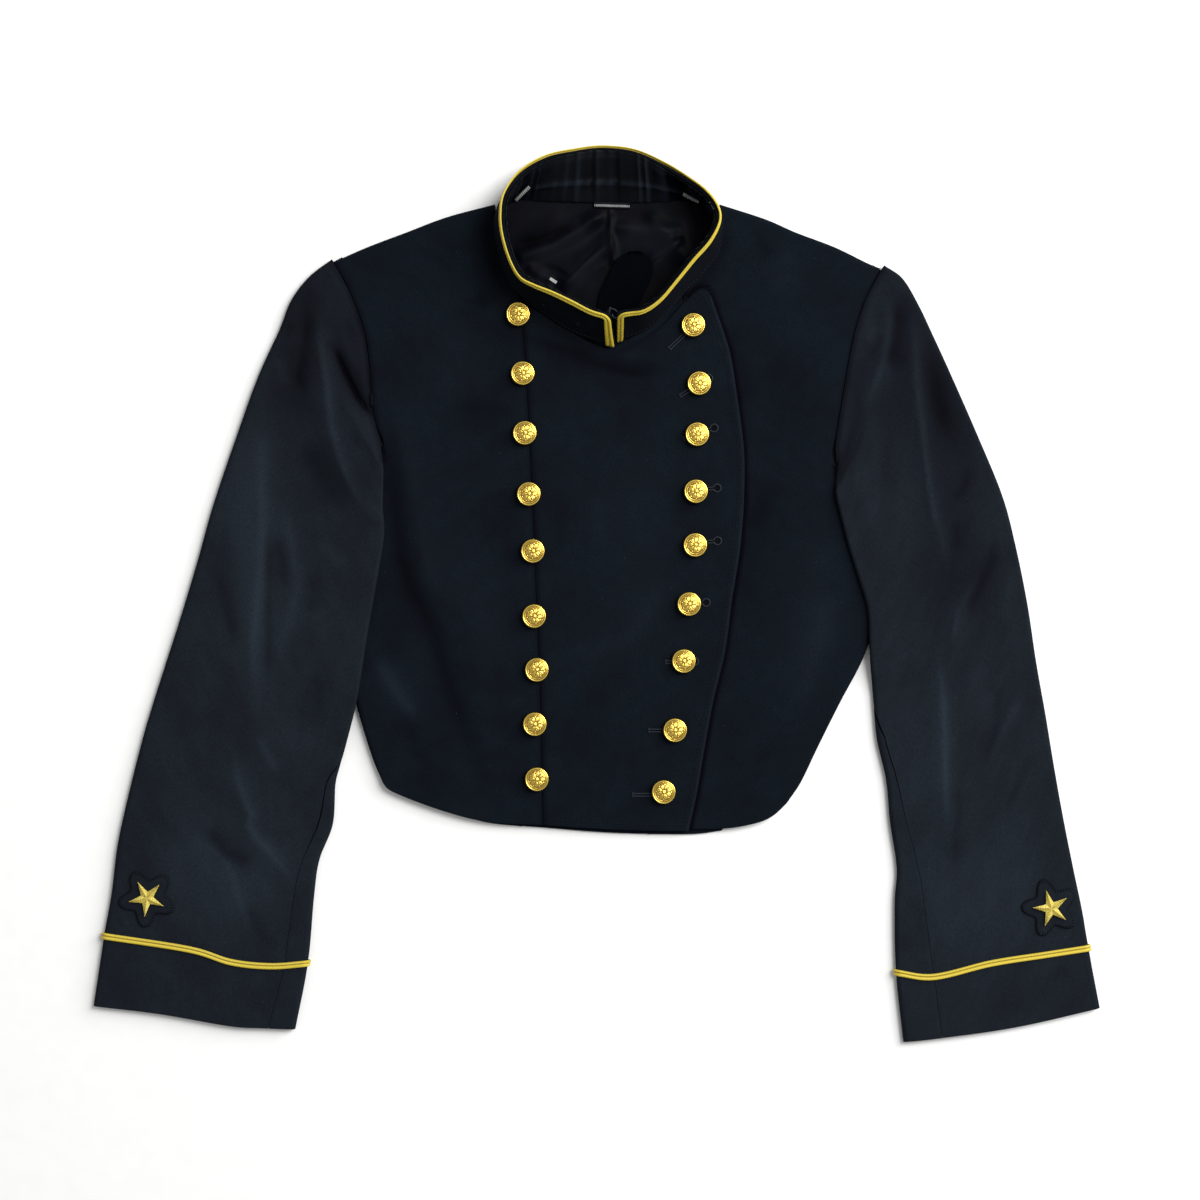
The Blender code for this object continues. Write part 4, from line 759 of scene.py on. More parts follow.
def shaped(x: np.ndarray, y: np.ndarray, surface: Surface) -> np.ndarray:
    """Gives the heights of all of a panel's folds."""
    fine = (LINE * creases(x, y, surface.fine, TAPER)
            + SWELL * creases(x, y, surface.fine, TAPER, SWELL_BROAD))
    return WIDE * creases(x, y, surface.wide) + creases(x, y, surface.seams) + fine


def painted_light_and_wear(x: np.ndarray, y: np.ndarray, surface: Surface) -> np.ndarray:
    """Gives the folds' painted light and shade: pale (to 1) as a painted highlight, dark (to -1) as
    painted shade.
    """
    fine = (TONE_LINE * creases(x, y, surface.fine, TAPER)
            + TONE_SWELL * creases(x, y, surface.fine, TAPER, TONE_BROAD))
    folds = fine / FULL_FOLD + creases(x, y, surface.shades, TAPER)
    tone = creases(x, y, surface.seams) / FULL_FOLD + np.where(folds < 0, DARKENED, PALED) * folds
    return np.clip(tone, -1, 1)


def sections(rows: Sequence, step: float) -> list:
    """Fills in rows between a table's rows.

    Args:
        rows: the table.
        step: the distance between rows.

    Returns:
        A list of (line, the row's other columns).
    """
    lines = np.array([even(smooth(row.path), 80) for row in rows])
    others = np.array([row[1:] for row in rows], dtype=float)
    result = []
    for index in range(len(rows) - 1):
        apart = np.linalg.norm(lines[index + 1] - lines[index], axis=1).mean()
        count = max(1, round(apart / step))
        for part in range(count):
            t = index + part / count
            between = others[index] + part / count * (others[index + 1] - others[index])
            result.append((through(lines, t), between))
    result.append((lines[-1], others[-1]))
    return result


# ------------------------------------------------------------------ nodes and finishes
def linear(code: str) -> tuple[float, float, float, float]:
    """Turns an sRGB hex colour to a linear one.

    Args:
        code: the colour, such as "#1a202a".

    Returns:
        Linear red, green, blue and an alpha of 1.
    """
    shares = [int(code[k:k + 2], 16) / 255 for k in (1, 3, 5)]
    red, green, blue = (v / 12.92 if v <= 0.04045 else ((v + 0.055) / 1.055) ** 2.4 for v in shares)
    return (red, green, blue, 1.0)


def add_node(tree: bpy.types.NodeTree, kind: str, settings: dict | None = None,
             links: dict | None = None) -> bpy.types.Node:
    """Adds a shader node with its settings and links.

    Args:
        tree: the material's node tree.
        kind: the node's type, without "ShaderNode".
        settings: values, by input name, input number or the node's own attribute.
        links: output sockets, by the name or number of the input that each feeds.

    Returns:
        The new node.
    """
    node = tree.nodes.new("ShaderNode" + kind)
    for key, value in (settings or {}).items():
        if isinstance(key, int) or key in node.inputs:
            node.inputs[key].default_value = value
        else:
            setattr(node, key, value)
    for key, socket in (links or {}).items():
        tree.links.new(socket, node.inputs[key])
    return node


WAVE_TURN = 0.31416             # one period of Blender's band wave at scale 1
WAVER = {"Detail": 1.0, "Detail Scale": 1.5}            # how stripes of thread stray
SOFT = {"Roughness": 0.6}       # how noise fades into its finer layers
THREAD_MAP = "thread_mm"        # UV map whose unit is a millimetre of cloth
PAINTED_LIGHT = "painted_light_and_wear"               # point attribute of painted light and shade: 1 for the painted highlight on a fold's ridge, -1 for painted shade in its trough
DARKENED, PALED = 0.65, 0.7     # how strongly the painted shade in troughs and the painted highlight on ridges show
FULL_FOLD = 1.5                 # height in millimetres of a fold that counts in full


@dataclass(frozen=True)
class Finish:
    """What every finish states: its colours and how it answers light."""

    name: str
    colour: str
    deep: str                   # colour between the threads, and painted shade in hollows
    roughness: float
    specular: float = 0.5
    metallic: float = 0.0
    sheen: float = 0.0
    sheen_roughness: float = 0.5
    sheen_tint: str = "#ffffff"

    def material(self) -> bpy.types.Material:
        """Makes the material once, and returns it."""
        found = bpy.data.materials.get(self.name)
        if found is None:
            found = bpy.data.materials.new(self.name)
            found.use_nodes = True
            shader = found.node_tree.nodes["Principled BSDF"]
            for key, value in (("Roughness", self.roughness), ("Metallic", self.metallic),
                               ("Specular IOR Level", self.specular), ("Sheen Weight", self.sheen),
                               ("Sheen Roughness", self.sheen_roughness),
                               ("Sheen Tint", linear(self.sheen_tint))):
                shader.inputs[key].default_value = value
            self.weave(found.node_tree, shader)
        return found

    def weave(self, tree: bpy.types.NodeTree, shader: bpy.types.Node) -> None:
        """Sets a plain colour; a finish with a pattern has its own."""
        shader.inputs["Base Color"].default_value = linear(self.colour)

    def cloth_map(self, tree: bpy.types.NodeTree, turn: float = 0.0) -> bpy.types.NodeSocket:
        """Gives the cloth's own coordinates in millimetres.

        Args:
            tree: the material's node tree.
            turn: angle that the pattern is turned by, in degrees.

        Returns:
            The coordinate socket.
        """
        threads = add_node(tree, "UVMap", {"uv_map": THREAD_MAP})
        turned = {"Rotation": (0, 0, math.radians(turn))}
        return add_node(tree, "Mapping", turned, {"Vector": threads.outputs["UV"]}).outputs["Vector"]

    def blend(self, tree: bpy.types.NodeTree, share: bpy.types.NodeSocket,
              first: str | bpy.types.NodeSocket, second: str | bpy.types.NodeSocket,
              low: float = 0.0, high: float = 1.0) -> bpy.types.NodeSocket:
        """Mixes two colours.

        Args:
            tree: the material's node tree.
            share: the mixing value.
            first: colour at low, as hex or socket.
            second: colour at high, as hex or socket.
            low: the share that gives the first colour alone.
            high: the share that gives the second colour alone.

        Returns:
            The colour socket.
        """
        ranged = add_node(tree, "MapRange", {1: low, 2: high}, {0: share}).outputs[0]
        mix = add_node(tree, "Mix", {"data_type": "RGBA"}, {0: ranged})
        for number, colour in ((6, first), (7, second)):
            if isinstance(colour, str):
                mix.inputs[number].default_value = linear(colour)
            else:
                tree.links.new(colour, mix.inputs[number])
        return mix.outputs[2]

    def relief(self, tree: bpy.types.NodeTree, shader: bpy.types.Node, layers: Sequence) -> None:
        """Adds bump layers to the shader.

        Args:
            tree: the material's node tree.
            shader: the Principled node.
            layers: (height socket, depth in millimetres) pairs.
        """
        normal = None
        for height, depth in layers:
            links = {"Height": height}
            if normal is not None:
                links["Normal"] = normal
            normal = add_node(tree, "Bump", {"Strength": 1.0, "Distance": depth * MM}, links).outputs[0]
        tree.links.new(normal, shader.inputs["Normal"])


@dataclass(frozen=True)
class TwillWool(Finish):
    """Fulled wool twill: steep ribs under a short nap, a painted highlight on folds' ridges and painted
    shade in creases.
    """

    roughness: float = 0.88
    specular: float = 0.02
    sheen: float = 0.02
    sheen_roughness: float = 0.45
    sheen_tint: str = "#8f9db4"
    # Painted highlight on the folds' ridges, and painted shade in creases, also used between the nap's
    # tufts
    ridge: str = "#3a4450"
    crease: str = "#050409"
    rib: float = 1.9            # real ribs are about 0.6 mm apart, too fine for the render
    rib_lean: float = 63.0      # degrees
    rib_depth: float = 0.05
    nap: float = 1.7            # width of a tuft
    nap_depth: float = 0.07
    mottle: float = 9.0
    patch: float = 38.0         # width of a slow change of tone
    lint: str = "#4a5260"
    lint_apart: float = 14.0

    def weave(self, tree: bpy.types.NodeTree, shader: bpy.types.Node) -> None:
        """Draws the ribs, the nap, slow patches of tone, the folds' painted light and shade and a few
        specks of lint.

        Args:
            tree: the material's node tree.
            shader: the Principled node.
        """
        spots = self.cloth_map(tree, self.rib_lean)
        ribs = add_node(tree, "TexWave", {"Scale": WAVE_TURN / self.rib, "Distortion": 0.6, **WAVER},
                        {"Vector": spots}).outputs[1]
        nap, mottle, patches = (
            add_node(tree, "TexNoise", {"Scale": 1 / size, "Detail": detail, **SOFT},
                     {"Vector": spots}).outputs[0]
            for size, detail in ((self.nap, 4), (self.mottle, 3), (self.patch, 2)))
        painted_light_and_wear = add_node(tree, "Attribute", {"attribute_name": PAINTED_LIGHT}).outputs["Fac"]
        shaded = self.blend(tree, patches, self.deep, self.colour, 0.1, 0.6)
        mottled = self.blend(tree, mottle, self.deep, shaded, -0.3, 0.55)
        # Painted highlight on the folds' ridges, and painted shade in their troughs
        folded = self.blend(tree, painted_light_and_wear, mottled, self.ridge)
        creased = self.blend(tree, painted_light_and_wear, folded, self.crease, 0.0, -1.0)
        threads = self.blend(tree, nap, self.crease, creased, -0.35, 0.62)
        cells = add_node(tree, "TexVoronoi", {"Scale": 1 / self.lint_apart}, {"Vector": spots})
        flecks = add_node(tree, "MapRange", {1: 0.012, 2: 0.022, 3: 0.7, 4: 0.0},
                          {0: cells.outputs["Distance"]})
        colour = self.blend(tree, flecks.outputs[0], threads, self.lint)
        tree.links.new(colour, shader.inputs["Base Color"])
        self.relief(tree, shader, ((ribs, self.rib_depth), (nap, self.nap_depth)))


@dataclass(frozen=True)
class Satin(Finish):
    """Filament satin: smooth floats that shine along the folds, with a painted highlight on their
    ridges and painted shade that goes black in the hollows.
    """

    # Painted highlight on ridges, and painted shade in creases
    ridge: str = "#24222b"
    crease: str = "#010102"
    thread: float = 0.9         # real floats are about 0.2 mm wide
    patch: float = 18.0         # width of a slow change of tone

    def weave(self, tree: bpy.types.NodeTree, shader: bpy.types.Node) -> None:
        """Draws the floats, slow changes of tone and the folds' painted light and shade.

        Args:
            tree: the material's node tree.
            shader: the Principled node.
        """
        shader.inputs["Anisotropic"].default_value = 0.4
        spots = self.cloth_map(tree)
        floats = add_node(tree, "TexWave",
                          {"Scale": WAVE_TURN / self.thread, "Distortion": 1.0, **WAVER},
                          {"Vector": spots}).outputs[1]
        patches = add_node(tree, "TexNoise", {"Scale": 1 / self.patch, "Detail": 2, **SOFT},
                           {"Vector": spots}).outputs[0]
        tone = self.blend(tree, patches, self.deep, self.colour, 0.3, 0.7)
        painted_light_and_wear = add_node(tree, "Attribute", {"attribute_name": PAINTED_LIGHT}).outputs["Fac"]
        # Painted highlight on the folds' ridges, and painted shade in their troughs
        folded = self.blend(tree, painted_light_and_wear, tone, self.ridge)
        creased = self.blend(tree, painted_light_and_wear, folded, self.crease, 0.0, -1.0)
        tree.links.new(creased, shader.inputs["Base Color"])
        self.relief(tree, shader, ((floats, 0.012), (patches, 0.25)))


@dataclass(frozen=True)
class Soutache(Finish):
    """Rayon soutache: two cords side by side, plaited into chevrons, with a sunken centre line."""

    plait: float = 1.1          # real plaits are about 0.8 mm long
    valley: tuple = (0.62, 0.12)        # the valley's painted shade: its half width, and its darkest part's

    def weave(self, tree: bpy.types.NodeTree, shader: bpy.types.Node) -> None:
        """Draws the chevrons and paints shade into the valley between the cords.

        Args:
            tree: the material's node tree.
            shader: the Principled node.
        """
        spots = add_node(tree, "SeparateXYZ", None, {0: self.cloth_map(tree)})
        along, across = spots.outputs[0], spots.outputs[1]
        cord = add_node(tree, "Math", {"operation": "PINGPONG", 1: BRAID_WIDTH / 4}, {0: across})
        lean = add_node(tree, "Math", {"operation": "ADD"}, {0: along, 1: cord.outputs[0]})
        phase = add_node(tree, "Math", {"operation": "MULTIPLY", 1: 2 * math.pi / self.plait},
                         {0: lean.outputs[0]})
        plaits = add_node(tree, "Math", {"operation": "SINE"}, {0: phase.outputs[0]})
        middle = add_node(tree, "Math", {"operation": "PINGPONG", 1: BRAID_WIDTH / 2}, {0: across})
        tone = self.blend(tree, plaits.outputs[0], self.deep, self.colour, -1.6, 0.4)
        wide, dark = (BRAID_WIDTH / 2 - half for half in self.valley)
        colour = self.blend(tree, middle.outputs[0], tone, self.deep, wide, dark)
        tree.links.new(colour, shader.inputs["Base Color"])
        self.relief(tree, shader, ((plaits.outputs[0], 0.05),))


@dataclass(frozen=True)
class GoldStitches(Finish):
    """Satin-stitch embroidery: bright parallel threads across each ray of the star."""

    thread: float = 0.55        # real threads are about 0.35 mm wide
    tone: float = 1.1           # width of a change of tone

    def weave(self, tree: bpy.types.NodeTree, shader: bpy.types.Node) -> None:
        """Draws the threads, each with its own tone.

        Args:
            tree: the material's node tree.
            shader: the Principled node.
        """
        spots = self.cloth_map(tree)
        threads = add_node(tree, "TexWave",
                           {"Scale": WAVE_TURN / self.thread, "Distortion": 0.4, **WAVER},
                           {"Vector": spots}).outputs[1]
        tones = add_node(tree, "TexNoise", {"Scale": 1 / self.tone, "Detail": 1, **SOFT},
                         {"Vector": spots}).outputs[0]
        tone = self.blend(tree, tones, self.deep, self.colour, 0.2, 0.6)
        colour = self.blend(tree, threads, self.deep, tone, -0.2, 0.35)
        tree.links.new(colour, shader.inputs["Base Color"])
        self.relief(tree, shader, ((threads, 0.09),))


@dataclass(frozen=True)
class GiltBrass(Finish):
    """Stamped brass, brightly gilded: mirror highlights on the relief, and painted shade that darkens
    the gold in its hollows.
    """

    def weave(self, tree: bpy.types.NodeTree, shader: bpy.types.Node) -> None:
        """Reads the stamped relief to paint shade into the hollows.

        Args:
            tree: the material's node tree.
            shader: the Principled node.
        """
        stamped = add_node(tree, "Attribute", {"attribute_name": "relief"})
        tone = self.blend(tree, stamped.outputs["Fac"], self.deep, self.colour, -0.2, 0.8)
        tree.links.new(tone, shader.inputs["Base Color"])
        # Fine bumps of wear on the gilding
        spots = add_node(tree, "TexCoord").outputs["Object"]
        painted_light_and_wear = add_node(tree, "TexNoise", {"Scale": 900.0, "Detail": 2.0}, {"Vector": spots})
        self.relief(tree, shader, ((painted_light_and_wear.outputs[0], 0.012),))


@dataclass(frozen=True)
class CottonTape(Finish):
    """Plain-woven cotton tape: small square bumps, quite dull."""

    thread: float = 0.8         # real threads are about 0.3 mm wide

    def weave(self, tree: bpy.types.NodeTree, shader: bpy.types.Node) -> None:
        """Draws warp and weft.

        Args:
            tree: the material's node tree.
            shader: the Principled node.
        """
        warp, weft = (
            add_node(tree, "TexWave", {"Scale": WAVE_TURN / self.thread, "Distortion": 0.3, **WAVER},
                     {"Vector": self.cloth_map(tree, turn)}).outputs[1]
            for turn in (0, 90))
        colour = self.blend(tree, warp, self.deep, self.colour, -0.5, 0.5)
        tree.links.new(colour, shader.inputs["Base Color"])
        self.relief(tree, shader, ((warp, 0.04), (weft, 0.04)))


@dataclass(frozen=True)
class WovenLabel(Finish):
    """Dark woven label tape with one plain row of short pale dashes, which stands for its lettering."""

    dash: float = 1.5
    gap: float = 0.45           # share of the dashes' spacing that stays dark
    row: tuple = (1.3, 3.0)     # the row of dashes lies between these distances from the lower edge

    def weave(self, tree: bpy.types.NodeTree, shader: bpy.types.Node) -> None:
        """Draws the tape's ribs and the row of dashes.

        Args:
            tree: the material's node tree.
            shader: the Principled node.
        """
        spots = self.cloth_map(tree)
        across = add_node(tree, "SeparateXYZ", None, {0: spots}).outputs[1]
        dashes = add_node(tree, "TexWave", {"Scale": WAVE_TURN / self.dash, "Distortion": 0.8, **WAVER},
                          {"Vector": spots}).outputs[1]
        lit, above, below = (
            add_node(tree, "Math", {"operation": test, 1: limit}, {0: value}).outputs[0]
            for test, limit, value in (("GREATER_THAN", self.gap, dashes),
                                       ("GREATER_THAN", self.row[0], across),
                                       ("LESS_THAN", self.row[1], across)))
        inside = add_node(tree, "Math", {"operation": "MULTIPLY"}, {0: above, 1: below}).outputs[0]
        marks = add_node(tree, "Math", {"operation": "MULTIPLY"}, {0: inside, 1: lit}).outputs[0]
        colour = self.blend(tree, marks, self.deep, self.colour)
        tree.links.new(colour, shader.inputs["Base Color"])
        self.relief(tree, shader, ((dashes, 0.03),))


@dataclass(frozen=True)
class SewingThread(Finish):
    """Twisted sewing thread: a faint spiral of darker lines."""

    def weave(self, tree: bpy.types.NodeTree, shader: bpy.types.Node) -> None:
        """Draws the twist.

        Args:
            tree: the material's node tree.
            shader: the Principled node.
        """
        spots = add_node(tree, "TexCoord").outputs["Object"]
        settings = {"Scale": WAVE_TURN / (0.5 * MM), "bands_direction": "DIAGONAL"}
        twist = add_node(tree, "TexWave", settings, {"Vector": spots}).outputs[1]
        tree.links.new(self.blend(tree, twist, self.deep, self.colour), shader.inputs["Base Color"])
        self.relief(tree, shader, ((twist, 0.02),))


@dataclass(frozen=True)
class PaperFloor(Finish):
    """Matt white background paper: flat, with a barely visible grain."""

    def weave(self, tree: bpy.types.NodeTree, shader: bpy.types.Node) -> None:
        """Draws the grain.

        Args:
            tree: the material's node tree.
            shader: the Principled node.
        """
        spots = add_node(tree, "TexCoord").outputs["Object"]
        grain = add_node(tree, "TexNoise", {"Scale": 60.0, "Detail": 3.0}, {"Vector": spots}).outputs[0]
        colour = self.blend(tree, grain, self.deep, self.colour, 0.3, 0.6)
        tree.links.new(colour, shader.inputs["Base Color"])


NAVY_WOOL = TwillWool("navy_wool_twill", "#10171d", "#0e0e15", ridge="#222932")
# The same cloth with painted light: a shade lighter, for the sleeves
SLEEVE_WOOL = TwillWool("navy_wool_twill_painted_lighter", "#1b2127", "#15161d", specular=0.03, sheen=0.03,
                        ridge="#303842")
# The same cloth a shade darker, for the collar and the armhole allowances
COLLAR_WOOL = TwillWool("navy_wool_twill_darker", "#0e1116", "#07080b", ridge="#191e26")
# The same cloth deep in the neck, where the collar keeps the light off it
CORNER_WOOL = TwillWool("navy_wool_twill_in_shade", "#06070b", "#020306", 0.9, specular=0.01,
                        sheen=0.01, ridge="#0e1016")
DARK_SATIN = Satin("dark_satin_lining", "#0a080f", "#04070c", 0.45, 0.03, 0.0, 0.0, 0.4, "#b7b3c9",
                   "#13151c")
COLLAR_SATIN = Satin("dark_satin_collar_lining", "#080b11", "#030407", 0.4, 0.07, 0.0, 0.01, 0.4,
                     "#a9b3c9", "#1b2129")
GOLD_BRAID = Soutache("gold_soutache_braid", "#dfc83c", "#8a7016", 0.5, 0.45, 0.0, 0.1, 0.4, "#ffe9a8")
GOLD_STARS = GoldStitches("gold_star_embroidery", "#e6d462", "#94791f", 0.42, 0.5, 0.15, 0.1, 0.4,
                          "#fff0c0")
GILT = GiltBrass("gilt_stamped_brass", "#ffe06e", "#97681e", 0.3, 0.5, 1.0)
WHITE_TAPE = CottonTape("white_cotton_tape", "#a3a5a2", "#5a5c5c", 0.85, 0.2)
LABEL_TAPE = WovenLabel("dark_woven_label", "#a9aaac", "#0c0d12", 0.7, 0.1)
NAVY_THREAD = SewingThread("navy_sewing_thread", "#171c23", "#090c10", 0.7, 0.1)
PATCH_THREAD = SewingThread("black_sewing_thread", "#0b0e12", "#040507", 0.7, 0.1)
PURL_THREAD = SewingThread("navy_buttonhole_twist", "#232a33", "#10141a", 0.6, 0.2)
GOLD_THREAD = SewingThread("gold_sewing_thread", "#8a6a22", "#4e3710", 0.5, 0.4)
DARK_STEEL = Finish("japanned_hook_steel", "#262a31", "#0c0c0e", 0.4, 0.5, 0.6)
HOLE_SHADE = Finish("buttonhole_shade", "#040507", "#020203", 0.95, 0.1)
PAPER = PaperFloor("white_background_paper", "#f4f4f3", "#f2f2f1", 0.9, 0.1)


# ------------------------------------------------------------------ meshes
FAR_ABOVE = 6000.0              # height of a point behind pieces whose outer side faces the floor
UNDERNEATH = -50.0              # height of a point behind pieces whose outer side faces up


def to_world(points: np.ndarray) -> np.ndarray:
    """Moves plan millimetres to metres about the jacket's middle."""
    return (np.asarray(points, dtype=float) - (CENTRE[0], CENTRE[1], 0.0)) * MM


def new_object(name: str, points: np.ndarray, faces: list, finish: Finish) -> Piece:
    """Makes a smooth-shaded object from plan points.

    Args:
        name: its name.
        points: its vertices in plan millimetres.
        faces: vertex numbers of each face.
        finish: its finish.

    Returns:
        The object.
    """
    mesh = bpy.data.meshes.new(name)
    mesh.from_pydata(to_world(points).tolist(), [], faces)
    mesh.update()
    mesh.shade_smooth()
    mesh.materials.append(finish.material())
    piece = bpy.data.objects.new(name, mesh)
    bpy.context.scene.collection.objects.link(piece)
    return piece


def settle(piece: Piece, slot: str, *nodes: str) -> Piece:
    """Makes a piece part of the jacket.

    Args:
        piece: the piece, in place.
        slot: the record's material slot; not used.
        nodes: the solids that it stands for.

    Returns:
        The piece.
    """
    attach(piece, "root")
    if nodes:
        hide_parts(*nodes)
    LOG.info("%s: %d faces, for %s", piece.name, len(piece.data.polygons),
             ", ".join(nodes) or "no solid")
    return piece


def sewn(name: str, parts: Sequence[Mesh], finish: Finish, slot: str = "navy_wool") -> Piece:
    """Joins small meshes into one piece of the jacket that stands for no solid.

    Args:
        name: the piece's name.
        parts: the small meshes.
        finish: its finish.
        slot: the record's material slot.

    Returns:
        The piece.
    """
    points, faces, count = [], [], 0
    for part_points, part_faces in parts:
        points.append(part_points)
        faces += [[index + count for index in face] for face in part_faces]
        count += len(part_points)
    return settle(new_object(name, np.vstack(points), faces, finish), slot)


def tube(line: np.ndarray, radii: np.ndarray | float, sides: int = 6, closed: bool = False) -> Mesh:
    """Makes a closed tube round a line.

    Args:
        line: the line's points in space.
        radii: its radius, or one for each point.
        sides: how many sides it has.
        closed: whether the line is a loop.

    Returns:
        Points and faces.
    """
    line = np.asarray(line, dtype=float)
    count = len(line)
    radii = np.broadcast_to(radii, count).astype(float)
    if closed:
        ahead = np.roll(line, -1, axis=0) - np.roll(line, 1, axis=0)
    else:
        ahead = np.gradient(line, axis=0)
    ahead = unit(ahead)
    across = np.cross(ahead, (0.0, 0.0, 1.0))
    upright = np.linalg.norm(across, axis=1) < 0.05
    across = unit(across + upright[:, None] * np.array((1.0, 0.0, 0.0)))
    up = np.cross(across, ahead)
    angles = (np.arange(sides) / sides * 2 * math.pi)[:, None]
    spokes = across[:, None] * np.cos(angles) + up[:, None] * np.sin(angles)
    points = (line[:, None] + radii[:, None, None] * spokes).reshape(-1, 3)
    faces = []
    for ring in range(count if closed else count - 1):
        base, following = ring * sides, (ring + 1) % count * sides
        for side in range(sides):
            turn = (side + 1) % sides
            faces.append([base + side, following + side, following + turn, base + turn])
    if not closed:
        faces.append(list(range(sides)))
        faces.append([(count - 1) * sides + side for side in reversed(range(sides))])
    return points, faces


def grain_lengths(grid: np.ndarray) -> tuple[np.ndarray, np.ndarray]:
    """Measures a grid of cloth points along its rows and its columns.

    Args:
        grid: rows by columns by XYZ.

    Returns:
        Two arrays, rows by columns: the distance along each row and along each column.
    """
    across = np.linalg.norm(np.diff(grid, axis=1), axis=2)
    down = np.linalg.norm(np.diff(grid, axis=0), axis=2)
    along_rows = np.hstack([np.zeros((len(grid), 1)), np.cumsum(across, axis=1)])
    along_columns = np.vstack([np.zeros((1, grid.shape[1])), np.cumsum(down, axis=0)])
    return along_rows, along_columns


@dataclass
class Cloth:
    """A walled cloth piece, made from a grid of points on its outer side."""

    name: str
    grid: np.ndarray            # rows by columns by XYZ, in plan millimetres
    wall: float
    finish: Finish
    inside: tuple               # a point behind the outer side
    toward: bool = False        # the outer side faces that point instead
    ring: bool = False          # the last column is the first again
    edge: float = 0.45          # how far the edges are rounded
    threads: np.ndarray | None = None       # its own thread coordinates, rows by columns by two
    surface: Surface | None = None          # the folds whose painted light and shade it carries
    tone: np.ndarray | None = None          # or its painted light and shade point by point, rows by columns
    cut: tuple | None = None    # width, length and area of its cut, where its rows don't give them

    def build(self) -> Piece:
        """Makes the piece with its wall and rounded edges."""
        grid = np.asarray(self.grid, dtype=float)
        rows, columns = grid.shape[:2]
        kept = columns - 1 if self.ring else columns
        corners = ((0, 0), (0, 1), (1, 1), (1, 0))
        row, column = np.meshgrid(np.arange(rows - 1), np.arange(columns - 1), indexing="ij")
        cells = np.stack([np.stack([row + dr, column + dc], axis=-1) for dr, dc in corners], axis=2)
        centres = (grid[:-1, :-1] + grid[1:, 1:]) / 2
        normals = np.cross(grid[1:, 1:] - grid[:-1, :-1], grid[1:, :-1] - grid[:-1, 1:])
        outward = ((centres - np.array(self.inside)) * normals).sum()
        if (outward < 0) != self.toward:
            cells = cells[:, :, ::-1]
        cells = cells.reshape(-1, 4, 2)
        numbers = cells[..., 0] * kept + cells[..., 1] % kept
        piece = new_object(self.name, grid[:, :kept].reshape(-1, 3), numbers.tolist(), self.finish)
        u, v = grain_lengths(grid)
        threads = np.stack([u, v], axis=-1) if self.threads is None else self.threads
        spots = threads[cells[..., 0], cells[..., 1]]
        layer = piece.data.uv_layers.new(name=THREAD_MAP)
        layer.uv.foreach_set("vector", spots.astype(np.float32).ravel())
        # Painted light and shade, kept as a point attribute for its finish
        tone = self.tone
        if self.surface:
            tone = painted_light_and_wear(grid[:, :kept, 0], grid[:, :kept, 1], self.surface)
        if tone is not None:
            layer = piece.data.attributes.new(PAINTED_LIGHT, "FLOAT", "POINT")
            layer.data.foreach_set("value", tone.astype(np.float32).ravel())
        if self.ring:
            weld = piece.modifiers.new("one_middle", "WELD")
            weld.merge_threshold = 0.01 * MM
        solidify = piece.modifiers.new("wall", "SOLIDIFY")
        solidify.thickness = self.wall * MM
        solidify.offset = -1.0
        if self.edge > 0:
            bevel = piece.modifiers.new("rounded_edges", "BEVEL")
            bevel.width = self.edge * MM
            bevel.segments = 2
            bevel.limit_method = "ANGLE"
            bevel.angle_limit = math.radians(50)
        return piece

    def lay(self, slot: str, rests_on: Sequence, *nodes: str, held: Held = Held.LAID) -> None:
        """Builds the piece and makes it part of the jacket.

        Args:
            slot: the record's material slot.
            rests_on: the solids that it lies on; not used.
            nodes: the solids that it stands for.
            held: how it is held; not used.
        """
        settle(self.build(), slot, *nodes)


def stitch_run(line: np.ndarray, length: float, gap: float, radius: float) -> list[Mesh]:
    """Sews a run of stitches along a line, each one a small thread that dips at both ends.

    Args:
        line: the line's points in space, on the cloth.
        length: length of one stitch.
        gap: cloth between two stitches.
        radius: the thread's radius.

    Returns:
        A mesh for each stitch.
    """
    shape = np.array((0.0, 0.18, 0.5, 0.82, 1.0))
    lift = np.array((-1.0, 0.35, 0.7, 0.35, -1.0)) * radius
    stitches = []
    for start in np.arange(gap, lengths(line)[-1] - length, length + gap):
        points = at(line, start + shape * length)
        points[:, 2] += lift
        stitches.append(tube(points, radius * np.array((0.6, 1.0, 1.0, 1.0, 0.6)), 5))
    return stitches


# ------------------------------------------------------------------ heights of the layers
FRONT_TOP = 7.6                 # upper side of the fronts
FRONT_DRIFT = (0.25, 46)        # how high and wide the cloth's soft unevenness is
OVERLAP_DRIFT = (0.2, 52)
SLEEVE_DRIFT = (0.25, 40)
OVERLAP_TOP = 7.8
UNDERLAP_TOP = 4.9
SLEEVE_TOP = 7.0
BACK_WALL = 2.0
LINING = 0.9
BRAID_WIDTH = 5.0
STITCH, STITCH_GAP = 2.3, 0.8   # topstitching: length of a stitch, and the cloth between two
OVERLAP_EDGE = np.array([row.path[-1] for row in OVERLAP], dtype=float)
OVERLAP_CORNER_Y = 228.0
SLEEVE_ROWS = {Side.RIGHT: SLEEVE_RIGHT, Side.LEFT: SLEEVE_LEFT}


def front_top(x: np.ndarray, y: np.ndarray) -> np.ndarray:
    """Gives the upper side of the right side front."""
    return FRONT_TOP + shaped(x, y, RIGHT_FRONT) + drift(x, y, *FRONT_DRIFT)


def overlap_top(x: np.ndarray, y: np.ndarray) -> np.ndarray:
    """Gives the upper side of the overlap."""
    return OVERLAP_TOP + shaped(x, y, OVERLAPPING) + drift(x, y, *OVERLAP_DRIFT)


